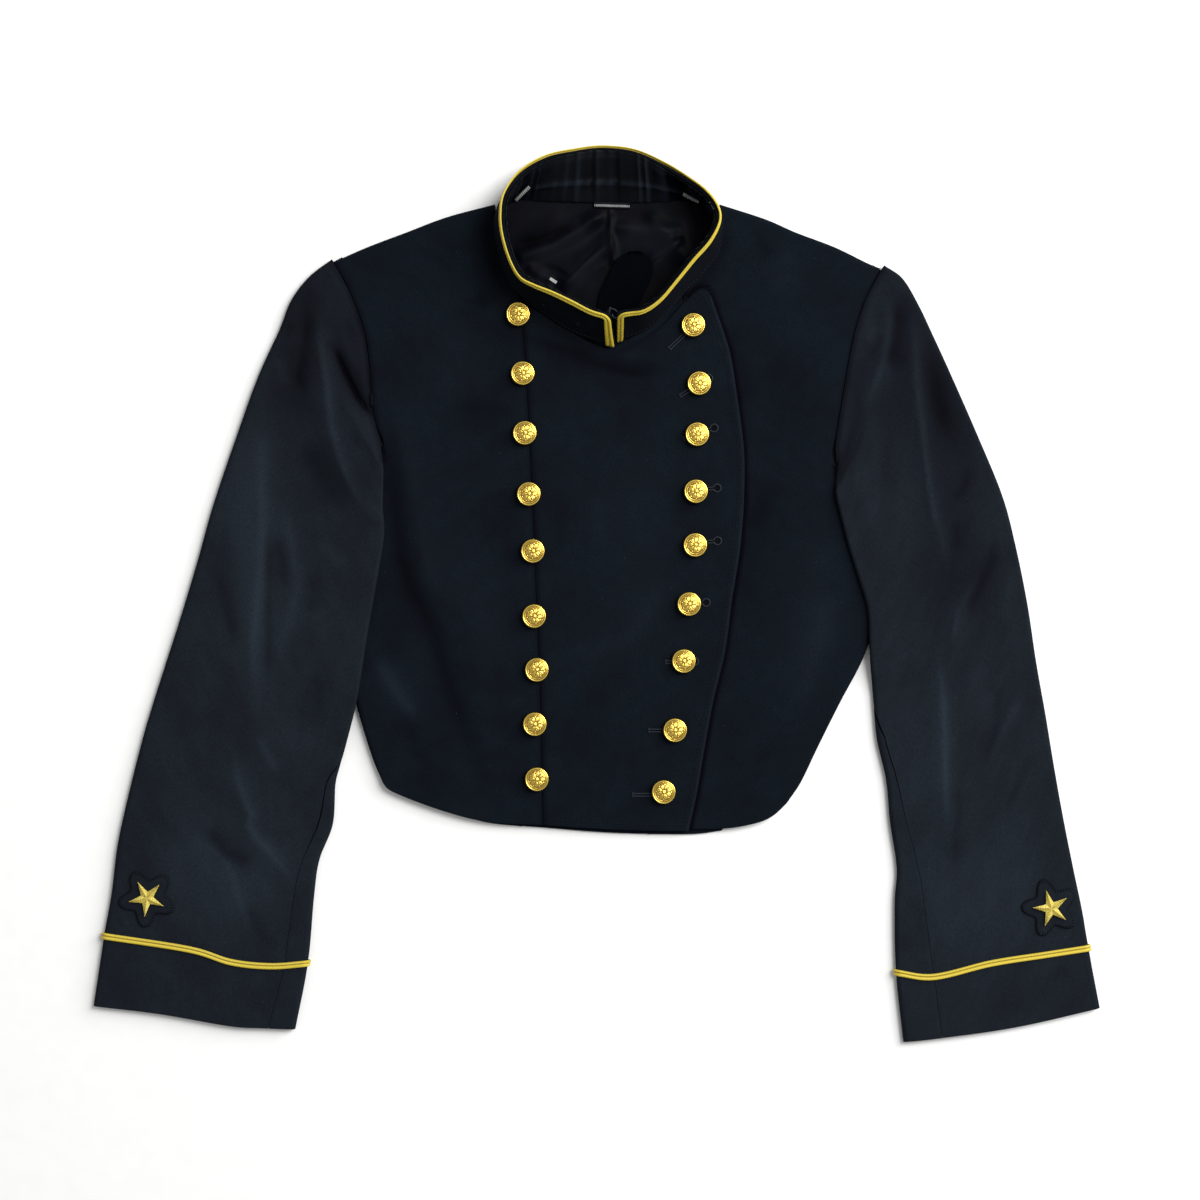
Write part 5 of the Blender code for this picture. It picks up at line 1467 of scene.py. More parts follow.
def left_front_top(x: np.ndarray, y: np.ndarray) -> np.ndarray:
    """Gives the upper side of the left side front: low under the overlap, then up to its side fold."""
    edge = np.interp(y, OVERLAP_EDGE[:, 1], OVERLAP_EDGE[:, 0])
    rise = ease(np.maximum((x - edge - 2) / 55.0, (y - OVERLAP_CORNER_Y - 4) / 30.0))
    folded = shaped(x, y, LEFT_FRONT) + drift(x, y, *FRONT_DRIFT)
    return UNDERLAP_TOP + rise * (FRONT_TOP - UNDERLAP_TOP + folded)


def underlap_top(x: np.ndarray, y: np.ndarray) -> np.ndarray:
    """Gives the upper side of the underlap."""
    return UNDERLAP_TOP + 0 * x


def corner_top(x: np.ndarray, y: np.ndarray) -> np.ndarray:
    """Gives the upper side of the underlap's corner, turned up on the neck lining."""
    return 6.3 + 1.6 * ease((y - 204) / 30.0) - ((x - 25) / 14.0) ** 2 * 0.15


def neck_top(x: np.ndarray, y: np.ndarray) -> np.ndarray:
    """Gives the upper side of the body lining seen through the neck."""
    folds = ease((y - 196) / 25.0) * creases(x, y, NECK_FOLDS + NECK_FINE)
    return BACK_WALL + SEAM_GAP + LINING + np.clip(folds, -0.2, None)


# Places across a braid, and how high its two cords stand above the valley between them
CORD_SHARES = np.concatenate([np.linspace(-0.5, 0.0, 8), np.linspace(0.0, 0.5, 8)[1:]])
CORD_HEIGHT = 1.0


def cord_bulge(share: float) -> float:
    """Gives the height, from 0 to 1, of two cords side by side across a braid."""
    return math.sqrt(max(0.0, 1 - ((abs(share) - 0.25) / 0.25) ** 2))


# ------------------------------------------------------------------ the body
def roll(line: np.ndarray, radius: float, low: float, steps: int, reach: float) -> np.ndarray:
    """Rounds a fold at a line's start.

    Args:
        line: the line in plan.
        radius: the fold's radius.
        low: height of its underside.
        steps: steps round it.
        reach: cloth that lies under it.

    Returns:
        Points from under it, round, and up to the upper side.
    """
    centre = at(line, radius)
    out = line[0] - centre
    points = [np.append(at(line, radius + reach), low)]
    for step in range(steps + 1):
        angle = math.pi * (step / steps - 0.5)
        height = low + radius + radius * math.sin(angle)
        points.append(np.append(centre + out * math.cos(angle), height))
    return np.array(points)


@dataclass
class Body:
    """Back, side fronts, overlap, underlap and its turned-up corner."""

    wall: float = 2.4               # fronts, with their canvas and facing
    row_step: float = 2.3
    columns: int = 66
    seam_columns: int = 5           # extra columns in the last few millimetres before a seam
    seam_zone: float = 8.0
    roll_steps: int = 9
    shoulder_turn: float = 10.0
    end_rows: int = 4
    stitch_inset: float = 4.5
    thread: float = 0.32
    allowance: float = 15.0
    allowance_top: float = 4.3
    allowance_ends: tuple = (253.5, 247.6)      # stops just short of the shoulder, right then left
    allowance_wall: float = 1.0
    plate_edge: float = 0.8         # how far the flat panels' edges are rounded
    back_step: float = 7.0
    back_seams: tuple = (0.27, 0.5, 0.73)       # side-back and centre seams, as shares of the width
    back_seam_beside: float = 0.006             # a column this far to each side of a seam
    back_seam_width: float = 0.004
    back_seam_depth: float = 0.7

    def turned_row(self, line: np.ndarray, top: Callable, fold: float, turn: float) -> np.ndarray:
        """Makes one row of a side front.

        Args:
            line: the row's line in plan.
            top: the upper side's height.
            fold: 1 where the side edge turns under, 0 where it is the armhole seam.
            turn: cloth turned under.

        Returns:
            The row's points.
        """
        radius = FRONT_TOP / 2
        total = lengths(line)[-1]
        flat = on_top(at(line, np.linspace(0, radius, self.roll_steps + 2)), top)
        edge = roll(line, radius, 0.0, self.roll_steps, turn)
        edge[-1, 2] = flat[-1, 2]
        stops = (radius, total - self.seam_zone, total)
        upper = on_top(at(line, spread(stops, (self.columns, self.seam_columns))[1:]), top)
        return np.vstack([fold * edge + (1 - fold) * flat, upper])

    def turned_end(self, grid: np.ndarray, reach: float) -> np.ndarray:
        """Turns the cloth under along a grid's last row.

        Args:
            grid: the front's points.
            reach: cloth that lies under.

        Returns:
            The grid with its last rows made anew and the turned rows added.
        """
        columns = []
        radius = FRONT_TOP / 2
        for column in range(grid.shape[1]):
            spine = grid[::-1, column]
            far = lengths(spine)[self.end_rows]
            bend = list(at(spine, np.linspace(far, radius, self.end_rows + 1)[1:]))
            centre = bend[-1]
            out = (spine[0] - centre)[:2]
            top = centre[2]
            for step in range(1, self.roll_steps + 1):
                angle = math.pi * (0.5 - step / self.roll_steps)
                height = top / 2 + top / 2 * math.sin(angle)
                bend.append(np.append(centre[:2] + out * math.cos(angle), height))
            bend.append(np.append(at(spine, radius + reach)[:2], 0.0))
            columns.append(bend)
        return np.vstack([grid[:-self.end_rows], np.array(columns).transpose(1, 0, 2)])

    def side_front(self, side: Side, rows: Sequence, top: Callable, surface: Surface) -> None:
        """Makes a side front, whose side and shoulder edges turn under to meet the back.

        Args:
            side: the wearer's side.
            rows: its table.
            top: its upper side's height.
            surface: its folds.
        """
        found = sections(rows, self.row_step)
        grid = np.array([self.turned_row(line, top, *other) for line, other in found])
        middle = grid[:, self.roll_steps + 2:].reshape(-1, 3).mean(0)
        grid = self.turned_end(grid, self.shoulder_turn)
        node = f"front_{side.value}"
        cloth = Cloth(f"{node}_cloth", grid, self.wall, NAVY_WOOL, (*middle[:2], UNDERNEATH),
                      surface=surface)
        cloth.lay("navy_wool", ("back",), node)

    def plate(self, node: str, rows: Sequence, top: Callable, count: int, step: float,
              rests_on: str, surface: Surface | None = None, finish: Finish = NAVY_WOOL) -> None:
        """Makes a panel that only lies flat.

        Args:
            node: the solid that it stands for.
            rows: its table.
            top: its upper side's height.
            count: how many columns it has.
            step: the distance between its rows.
            rests_on: what it lies on.
            surface: its folds.
            finish: its finish.
        """
        grid = []
        for line, _ in sections(rows, step):
            total = lengths(line)[-1]
            stops = (0, self.seam_zone, total - self.seam_zone, total)
            spots = at(line, spread(stops, (self.seam_columns, count, self.seam_columns + 2)))
            grid.append(on_top(spots, top))
        middle = np.array(grid).reshape(-1, 3).mean(0)
        cloth = Cloth(f"{node}_cloth", np.array(grid), self.wall, finish, (*middle[:2], UNDERNEATH),
                      edge=self.plate_edge, surface=surface)
        cloth.lay("navy_wool", (rests_on,), node)

    def back(self) -> None:
        """Makes the back, flat on the floor, with its centre and side-back seams as narrow grooves."""
        found = []
        for rows, hole in ((FRONT_RIGHT, BACK_ARMHOLE_RIGHT), (FRONT_LEFT, BACK_ARMHOLE_LEFT)):
            lines = np.array([even(smooth(row.path), 80) for row in rows])
            seam = [at(line, FRONT_TOP / 2 + row.turn + SEAM_GAP)
                    for line, row in zip(lines, rows) if row.fold]
            reach = FRONT_TOP / 2 + self.shoulder_turn + 2 * SEAM_GAP
            shoulder = [at(lines[::-1, column], reach) for column in (2, 16, 32, 48, 64, 78)]
            found.append(np.vstack([even(seam, 8), even(hole, 9)[:-1], even(shoulder, 7)]))
        rows = [Row(BACK_HEM_LINE),
                *(Row((tuple(right), tuple(left))) for right, left in zip(found[0][1:], found[1][1:])),
                Row(BACK_NECK[::-1])]
        beside = self.back_seam_beside
        stops, counts = [0.0], []
        for seam in self.back_seams:
            stops += [seam - beside, seam, seam + beside]
            counts += [20, 2, 2]
        shares = spread(stops + [1.0 - beside, 1.0], counts + [20, 2])
        dips = self.back_seam_depth * sum(np.exp(-((shares - seam) / self.back_seam_width) ** 2)
                                          for seam in self.back_seams)
        grid = [np.column_stack([at(line, shares * lengths(line)[-1]), dips])
                for line, _ in sections(rows, self.back_step)]
        cloth = Cloth("back_cloth", np.array(grid), BACK_WALL, NAVY_WOOL, (0, 0, FAR_ABOVE))
        cloth.lay("navy_wool", (), "back")

    def armhole_allowance(self, side: Side, seam: Sequence) -> None:
        """Lays the pressed-open allowance under an armhole seam.

        Args:
            side: the wearer's side.
            seam: the seam's points.
        """
        seam_line = smooth(seam)
        end = self.allowance_ends[side is Side.LEFT]
        line = even(seam_line[seam_line[:, 1] < end], 90)
        across = sideways(unit(np.gradient(line, axis=0))) * self.allowance / 2
        grid = [np.column_stack([line + across * share, np.full(len(line), self.allowance_top)])
                for share in np.linspace(-1, 1, 5)]
        cloth = Cloth(f"armhole_allowance_{side.value}", np.array(grid), self.allowance_wall,
                      COLLAR_WOOL, (*line.mean(0), UNDERNEATH), edge=0.3)
        cloth.lay("navy_wool", ("back",))

    def topstitching(self) -> None:
        """Sews the row of stitches inside the overlap's free edge and hem."""
        hem = even(smooth(OVERLAP[0].path), 60)
        front = even(smooth([row.path[-1] for row in OVERLAP[:-1]]), 120)
        corner = even(smooth(OVERLAP[-1].path), 80)[-26:][::-1]
        route = even(np.vstack([hem[:-1], front[1:-3], corner]), 420)
        line = route + sideways(unit(np.gradient(route, axis=0))) * self.stitch_inset
        run = on_top(line[2:-2], overlap_top)
        sewn("overlap_topstitching", stitch_run(run, STITCH, STITCH_GAP, self.thread), NAVY_THREAD)

    def build(self) -> None:
        """Makes the body, from the back upward."""
        self.back()
        self.side_front(Side.RIGHT, FRONT_RIGHT, front_top, RIGHT_FRONT)
        self.side_front(Side.LEFT, FRONT_LEFT, left_front_top, LEFT_FRONT)
        self.plate("front_underlap", UNDERLAP, underlap_top, 24, 8.0, "back")
        self.plate("front_overlap", OVERLAP, overlap_top, 74, 2.2, "front_underlap", OVERLAPPING)
        self.plate("underlap_corner", UNDERLAP_CORNER, corner_top, 12, 2.5, "neck_lining",
                   finish=CORNER_WOOL)
        self.armhole_allowance(Side.RIGHT, ARMHOLE_RIGHT)
        self.armhole_allowance(Side.LEFT, ARMHOLE_LEFT)
        self.topstitching()


# ------------------------------------------------------------------ sleeves
def half_turn(radius: float, low: float, steps: int, inward: float) -> np.ndarray:
    """Rounds a sleeve's fold in (distance, height).

    Args:
        radius: the fold's radius.
        low: height of its underside.
        steps: steps round it.
        inward: cloth that lies under it, before the turn.

    Returns:
        Points from below upward; the outermost is at distance 0.
    """
    angles = np.linspace(-math.pi / 2, math.pi / 2, steps + 1)
    turned = np.column_stack([radius - radius * np.cos(angles), low + radius + radius * np.sin(angles)])
    under = [[radius + inward, low]] if inward > 0 else []
    return np.vstack([np.array(under).reshape(-1, 2), turned])


@dataclass
class Sleeve:
    """A two-piece sleeve with its cuff braid, star patch and star."""

    side: Side
    star_centre: tuple
    star_turn: float                # degrees
    wall: float = 1.6
    row_step: float = 2.1
    under_step: float = 4.0
    drop_reach: float = 90.0        # from the armhole to where the sleeve is at its own height
    elbow_turn: float = 16.0        # topsleeve turned under to the elbow seam
    lip_low: float = 8.3            # underside of the inner fold where it lies on the body
    lip_top: float = 12.7
    lip_slope: float = 80.0
    braid_row: int = 15
    braid_wall: float = 1.3
    braid_relief: float = 0.8
    cord_wall: float = 0.6
    braid_arch: float = 2.15
    braid_arch_width: float = 9.0
    turn_steps: int = 12            # round each fold
    top_steps: tuple = (4, 12, 82, 14, 5)
    under_steps: tuple = (5, 22, 10)
    ring_steps: tuple = (6, 14, 60, 14, 8)
    star_radius: float = 13.9
    star_waist: float = 0.35
    star_rise: float = 1.7
    star_wall: float = 0.9
    patch_radius: float = 21.6
    patch_waist: float = 0.62
    patch_wall: float = 1.0
    patch_fill: float = 0.84        # radius of a disc of the patch's area, as a share of its own
    star_fill: float = 0.31         # the star's area, as a share of the square round it
    overcast_step: float = 2.2
    overcast_thread: float = 0.3
    ridge_step: float = 1.3
    ridge_stitch: tuple = (0.35, 0.22)      # half length and radius of a stitch on a ray's ridge

    def level(self, spots: np.ndarray) -> np.ndarray:
        """Gives the sleeve's upper side clear of the body: lower at the cuff than at the armhole.

        Args:
            spots: the points in plan.

        Returns:
            The heights.
        """
        x, y = spots[:, 0], spots[:, 1]
        drop = ease(away(x, y, SLEEVE_ROWS[self.side][0].path) / self.drop_reach)
        folded = shaped(x, y, LYING_SLEEVES[self.side]) + drift(x, y, *SLEEVE_DRIFT)
        return FRONT_TOP - (FRONT_TOP - SLEEVE_TOP) * drop + folded

    def profile(self, line: np.ndarray, lap: float, joined_end: bool) -> tuple[np.ndarray, float]:
        """Draws a sleeve's section in (distance, height), from its elbow seam.

        Args:
            line: the row's line in plan.
            lap: 1 where the inner fold lies on the body.
            joined_end: whether the inner edge is the armhole seam.

        Returns:
            The section's points, and the inner edge's place along them.
        """
        total = lengths(line)[-1]
        distance = np.linspace(0, total, 130)
        height = self.level(at(line, distance))
        height += lap * (self.lip_top - SLEEVE_TOP) * (1 - ease((total - distance) / self.lip_slope))
        outer_radius = height[0] / 2
        outer = half_turn(outer_radius, 0.0, self.turn_steps, self.elbow_turn)
        low = self.lip_low * lap
        inner_radius = (height[-1] - low) / 2
        if joined_end:
            keep = distance > outer_radius + 1
            section = np.vstack([outer, np.column_stack([distance, height])[keep]])
            section[-1, 0] = total - SEAM_GAP
            return section, lengths(section)[-1]
        keep = (distance > outer_radius + 1) & (distance < total - inner_radius - 1)
        inner = half_turn(inner_radius, low, self.turn_steps, 0)[::-1]
        inner[:, 0] = total - inner[:, 0]
        floor_end = np.array([[outer_radius + self.elbow_turn + SEAM_GAP, low]])
        body = np.column_stack([distance, height])[keep]
        edge = lengths(np.vstack([outer, body, inner[:self.turn_steps // 2 + 1]]))[-1]
        return np.vstack([outer, body, inner, floor_end]), edge

    def lifted(self, points: np.ndarray) -> np.ndarray:
        """Raises the underside where it lies on the cuff braid."""
        row = SLEEVE_ROWS[self.side][self.braid_row]
        near = np.exp(-(away(points[:, 0], points[:, 1], row.path) / self.braid_arch_width) ** 2)
        points[:, 2] += self.braid_arch * near * np.clip(1 - points[:, 2] / SLEEVE_TOP, 0, 1)
        return points

    def placed(self, line: np.ndarray, section: np.ndarray, distances: np.ndarray) -> np.ndarray:
        """Puts a section's points over a row's line.

        Args:
            line: the row's line in plan.
            section: the section in (distance, height).
            distances: places along the section.

        Returns:
            Points in space.
        """
        flat = at(section, distances)
        return np.column_stack([at(line, flat[:, 0]), flat[:, 1]])

    def topsleeve(self) -> None:
        """Makes the upper piece, from the elbow seam under it to the inseam."""
        grid = []
        roll_end = self.elbow_turn + math.pi * SLEEVE_TOP / 2 + 1
        for line, (joined, lap, inner, _) in sections(SLEEVE_ROWS[self.side], self.row_step):
            section, edge = self.profile(line, lap, False)
            end = edge + inner
            near = min(edge - 7, end - 3)
            stops = (0, self.elbow_turn, roll_end, near, min(edge + 7, end - 1), end)
            row = self.placed(line, section, spread(stops, self.top_steps))
            if joined > 0:
                flat, end = self.profile(line, 0, True)
                stops = (0, self.elbow_turn, roll_end, end - 7, end - 1, end)
                sewn_in = self.placed(line, flat, spread(stops, self.top_steps))
                row = joined * sewn_in + (1 - joined) * row
            grid.append(self.lifted(row))
        grid = np.array(grid)
        middle = grid[:, 20:90].reshape(-1, 3).mean(0)
        name = f"topsleeve_{self.side.value}"
        cloth = Cloth(f"{name}_cloth", grid, self.wall, SLEEVE_WOOL, (*middle[:2], UNDERNEATH),
                      surface=LYING_SLEEVES[self.side])
        cloth.lay("navy_wool", (f"undersleeve_{self.side.value}",), name)

    def clear_of_floor(self, grid: np.ndarray) -> np.ndarray:
        """Lifts the few points where rows cross at the armpit, to keep their wall above the floor.

        Args:
            grid: the under piece's points.

        Returns:
            The same points, those few one wall higher.
        """
        up = np.cross(np.gradient(grid, axis=0), np.gradient(grid, axis=1))[..., 2]
        low = grid[..., 2] < self.wall / 2
        crossed = low & (up * np.sign(up[low].sum()) <= 0)
        return grid + crossed[..., None] * (0.0, 0.0, self.wall)

    def undersleeve(self) -> None:
        """Makes the under piece, from the inseam round to the elbow seam."""
        grid = []
        for line, (_, _, _, under) in sections(SLEEVE_ROWS[self.side], self.under_step):
            section, edge = self.profile(line, 0, False)
            start = edge + under
            end = lengths(section)[-1]
            stops = (start, max(edge - 7, start + 2), max(edge + 7, start + 6), end)
            grid.append(self.lifted(self.placed(line, section, spread(stops, self.under_steps))))
        grid = self.clear_of_floor(np.array(grid))
        middle = grid[:, 28:].reshape(-1, 3).mean(0)
        name = f"undersleeve_{self.side.value}"
        cloth = Cloth(f"{name}_cloth", grid, self.wall, SLEEVE_WOOL, (*middle[:2], FAR_ABOVE))
        cloth.lay("navy_wool", (), name)

    def cuff_braid(self) -> None:
        """Makes the ring of braid round the cuff: two cords on the sleeve's own outer points."""
        rows = SLEEVE_ROWS[self.side]
        line = even(smooth(rows[self.braid_row].path), 80)
        below = even(smooth(rows[self.braid_row + 1].path), 80)
        along = unit(below - line)
        section, edge = self.profile(line, 0, False)
        total = lengths(section)[-1]
        rolls = math.pi * SLEEVE_TOP / 2
        stops = (0, self.elbow_turn, self.elbow_turn + rolls, edge - rolls / 2, edge + rolls / 2, total)
        loop = at(section, spread(stops, self.ring_steps))
        loop[-1] = loop[0]
        outward = sideways(unit(np.roll(loop[:-1], -1, axis=0) - np.roll(loop[:-1], 1, axis=0)))
        run = lengths(line)
        grid = []
        for share in CORD_SHARES:
            rise = self.braid_relief + self.braid_wall - CORD_HEIGHT + CORD_HEIGHT * cord_bulge(share)
            outer = loop[:-1] + outward * rise
            outer = np.vstack([outer, outer[:1]])
            points = np.column_stack([at(line, outer[:, 0]), outer[:, 1]])
            lean = np.column_stack([np.interp(outer[:, 0], run, along[:, k]) for k in (0, 1)])
            points[:, :2] += lean * share * BRAID_WIDTH
            points[:, 2] += self.braid_arch * np.clip(1 - points[:, 2] / SLEEVE_TOP, 0, 1)
            grid.append(points)
        name = f"cuff_braid_{self.side.value}"
        middle = tuple(np.array(grid).reshape(-1, 3).mean(0))
        cloth = Cloth(f"{name}_cords", np.array(grid), self.cord_wall, GOLD_BRAID, middle, ring=True,
                      edge=0.0)
        settle(cloth.build(), "gold_braid", name)

    def outline(self, radius: float, waist: float, per_point: int, rounded: bool) -> np.ndarray:
        """Draws a five-pointed star about the origin.

        Args:
            radius: to its tips.
            waist: the inner corners' share of the radius.
            per_point: steps from a tip to the next corner.
            rounded: whether its points are rounded.

        Returns:
            The closed outline.
        """
        count = 10 * per_point + 1 if rounded else 11
        angles = np.linspace(0, 2 * math.pi, count)
        size = radius * ((1 + waist) / 2 + (1 - waist) / 2 * np.cos(5 * angles))
        turned = angles + math.radians(self.star_turn)
        knots = np.column_stack([size * np.cos(turned), size * np.sin(turned)])
        if rounded:
            return knots
        steps = np.linspace(0, 10, 10 * per_point + 1)
        return np.column_stack([np.interp(steps, np.arange(11), knots[:, k]) for k in (0, 1)])

    def star_patch(self) -> None:
        """Makes the navy patch under the star, with the overcast stitches round its edge."""
        centre = np.array(self.star_centre)
        outline = self.outline(self.patch_radius, self.patch_waist, 12, True)
        grid = []
        for share in np.linspace(0, 1, 9):
            spots = outline * share + centre
            grid.append(np.column_stack([spots, self.level(spots) + SEAM_GAP + self.patch_wall]))
        name = f"star_patch_{self.side.value}"
        across = 2 * self.patch_radius
        cloth = Cloth(f"{name}_felt", np.array(grid), self.patch_wall, SLEEVE_WOOL,
                      (*centre, UNDERNEATH), ring=True, edge=0.35,
                      cut=(across, across, math.pi * (self.patch_radius * self.patch_fill) ** 2))
        cloth.lay("navy_wool", (f"topsleeve_{self.side.value}",), name)
        stitches = []
        path = np.column_stack([outline + centre, np.zeros(len(outline))])
        for start in np.arange(0.8, lengths(path)[-1], self.overcast_step):
            inner = at(path, start)[:2] * 0.9 + centre * 0.1
            outer = at(path, start + 0.9)[:2] * 1.035 - centre * 0.035
            spots = np.linspace(inner, outer, 5)
            heights = self.level(spots) + (SEAM_GAP + self.patch_wall) * np.array((1, 1, 1, 1, 0))
            heights += (-0.2, 0.15, 0.2, 0.1, 0.0)
            stitches.append(tube(np.column_stack([spots, heights]), self.overcast_thread, 5))
        sewn(f"{name}_overcasting", stitches, PATCH_THREAD)

    def star(self) -> None:
        """Makes the embroidered star: five padded rays, each with a ridge and threads of its own."""
        centre = np.array(self.star_centre)
        base = SEAM_GAP + self.patch_wall + SEAM_GAP + self.star_wall
        per_point = 10
        outline = self.outline(self.star_radius, self.star_waist, per_point, False)
        steps = np.arange(len(outline)) / per_point
        ridge = 1 - np.abs((steps + 1) % 2 - 1)
        ray = math.radians(self.star_turn) + np.round(steps / 2) * 2 * math.pi / 5
        ahead = np.column_stack([np.cos(ray), np.sin(ray)])
        grid, threads = [], []
        for share in np.linspace(0, 1, 13):
            spots = outline * share
            padded = self.star_rise * (1 - share) ** 0.9
            edge = 0.5 * share + 0.9 * ridge * math.sin(math.pi * min(share, 0.92)) ** 0.8
            rise = base + np.minimum(padded + edge, self.star_rise + 0.1)
            grid.append(np.column_stack([spots + centre, self.level(spots + centre) + rise]))
            aside = np.abs((spots * sideways(ahead)).sum(1))
            threads.append(np.column_stack([(spots * ahead).sum(1) + 0.55 * aside, aside]))
        name = f"star_{self.side.value}"
        across = 2 * self.star_radius
        cloth = Cloth(f"{name}_embroidery", np.array(grid), self.star_wall, GOLD_STARS,
                      (*centre, UNDERNEATH), ring=True, edge=0.25, threads=np.array(threads),
                      cut=(across, across, self.star_fill * across ** 2))
        piece = settle(cloth.build(), "gold_braid", name)
        half, thread = self.ridge_stitch
        dots = []
        for column in range(0, 10 * per_point, 2 * per_point):
            line = np.array(grid)[1:-1, column] + (0, 0, 0.05)
            aside = half * np.append(sideways(ahead)[column], 0)
            for start in np.arange(0.6, lengths(line)[-1] - 0.6, self.ridge_step):
                spot = at(line, start)
                dots.append(tube(np.array([spot - aside, spot + aside]), thread, 5))
        dotted = sewn(f"{name}_ridge_stitches", dots, GOLD_THREAD, "gold_braid")

    def build(self) -> None:
        """Makes the sleeve and what is sewn on it."""
        self.undersleeve()
        self.topsleeve()
        self.cuff_braid()
        self.star_patch()
        self.star()


# ------------------------------------------------------------------ collar
HOOK = ((5.6, 213.5, 31), (8.2, 214.8, 31), (11.4, 213.6, 31), (13.4, 210.6, 31), (12.2, 208.2, 31),
        (9.8, 208.6, 31), (9.0, 210.8, 31))
EYE_BAR = ((4.6, 206.5, 29.5), (6.6, 211.0, 31.0), (7.4, 215.8, 32.0))


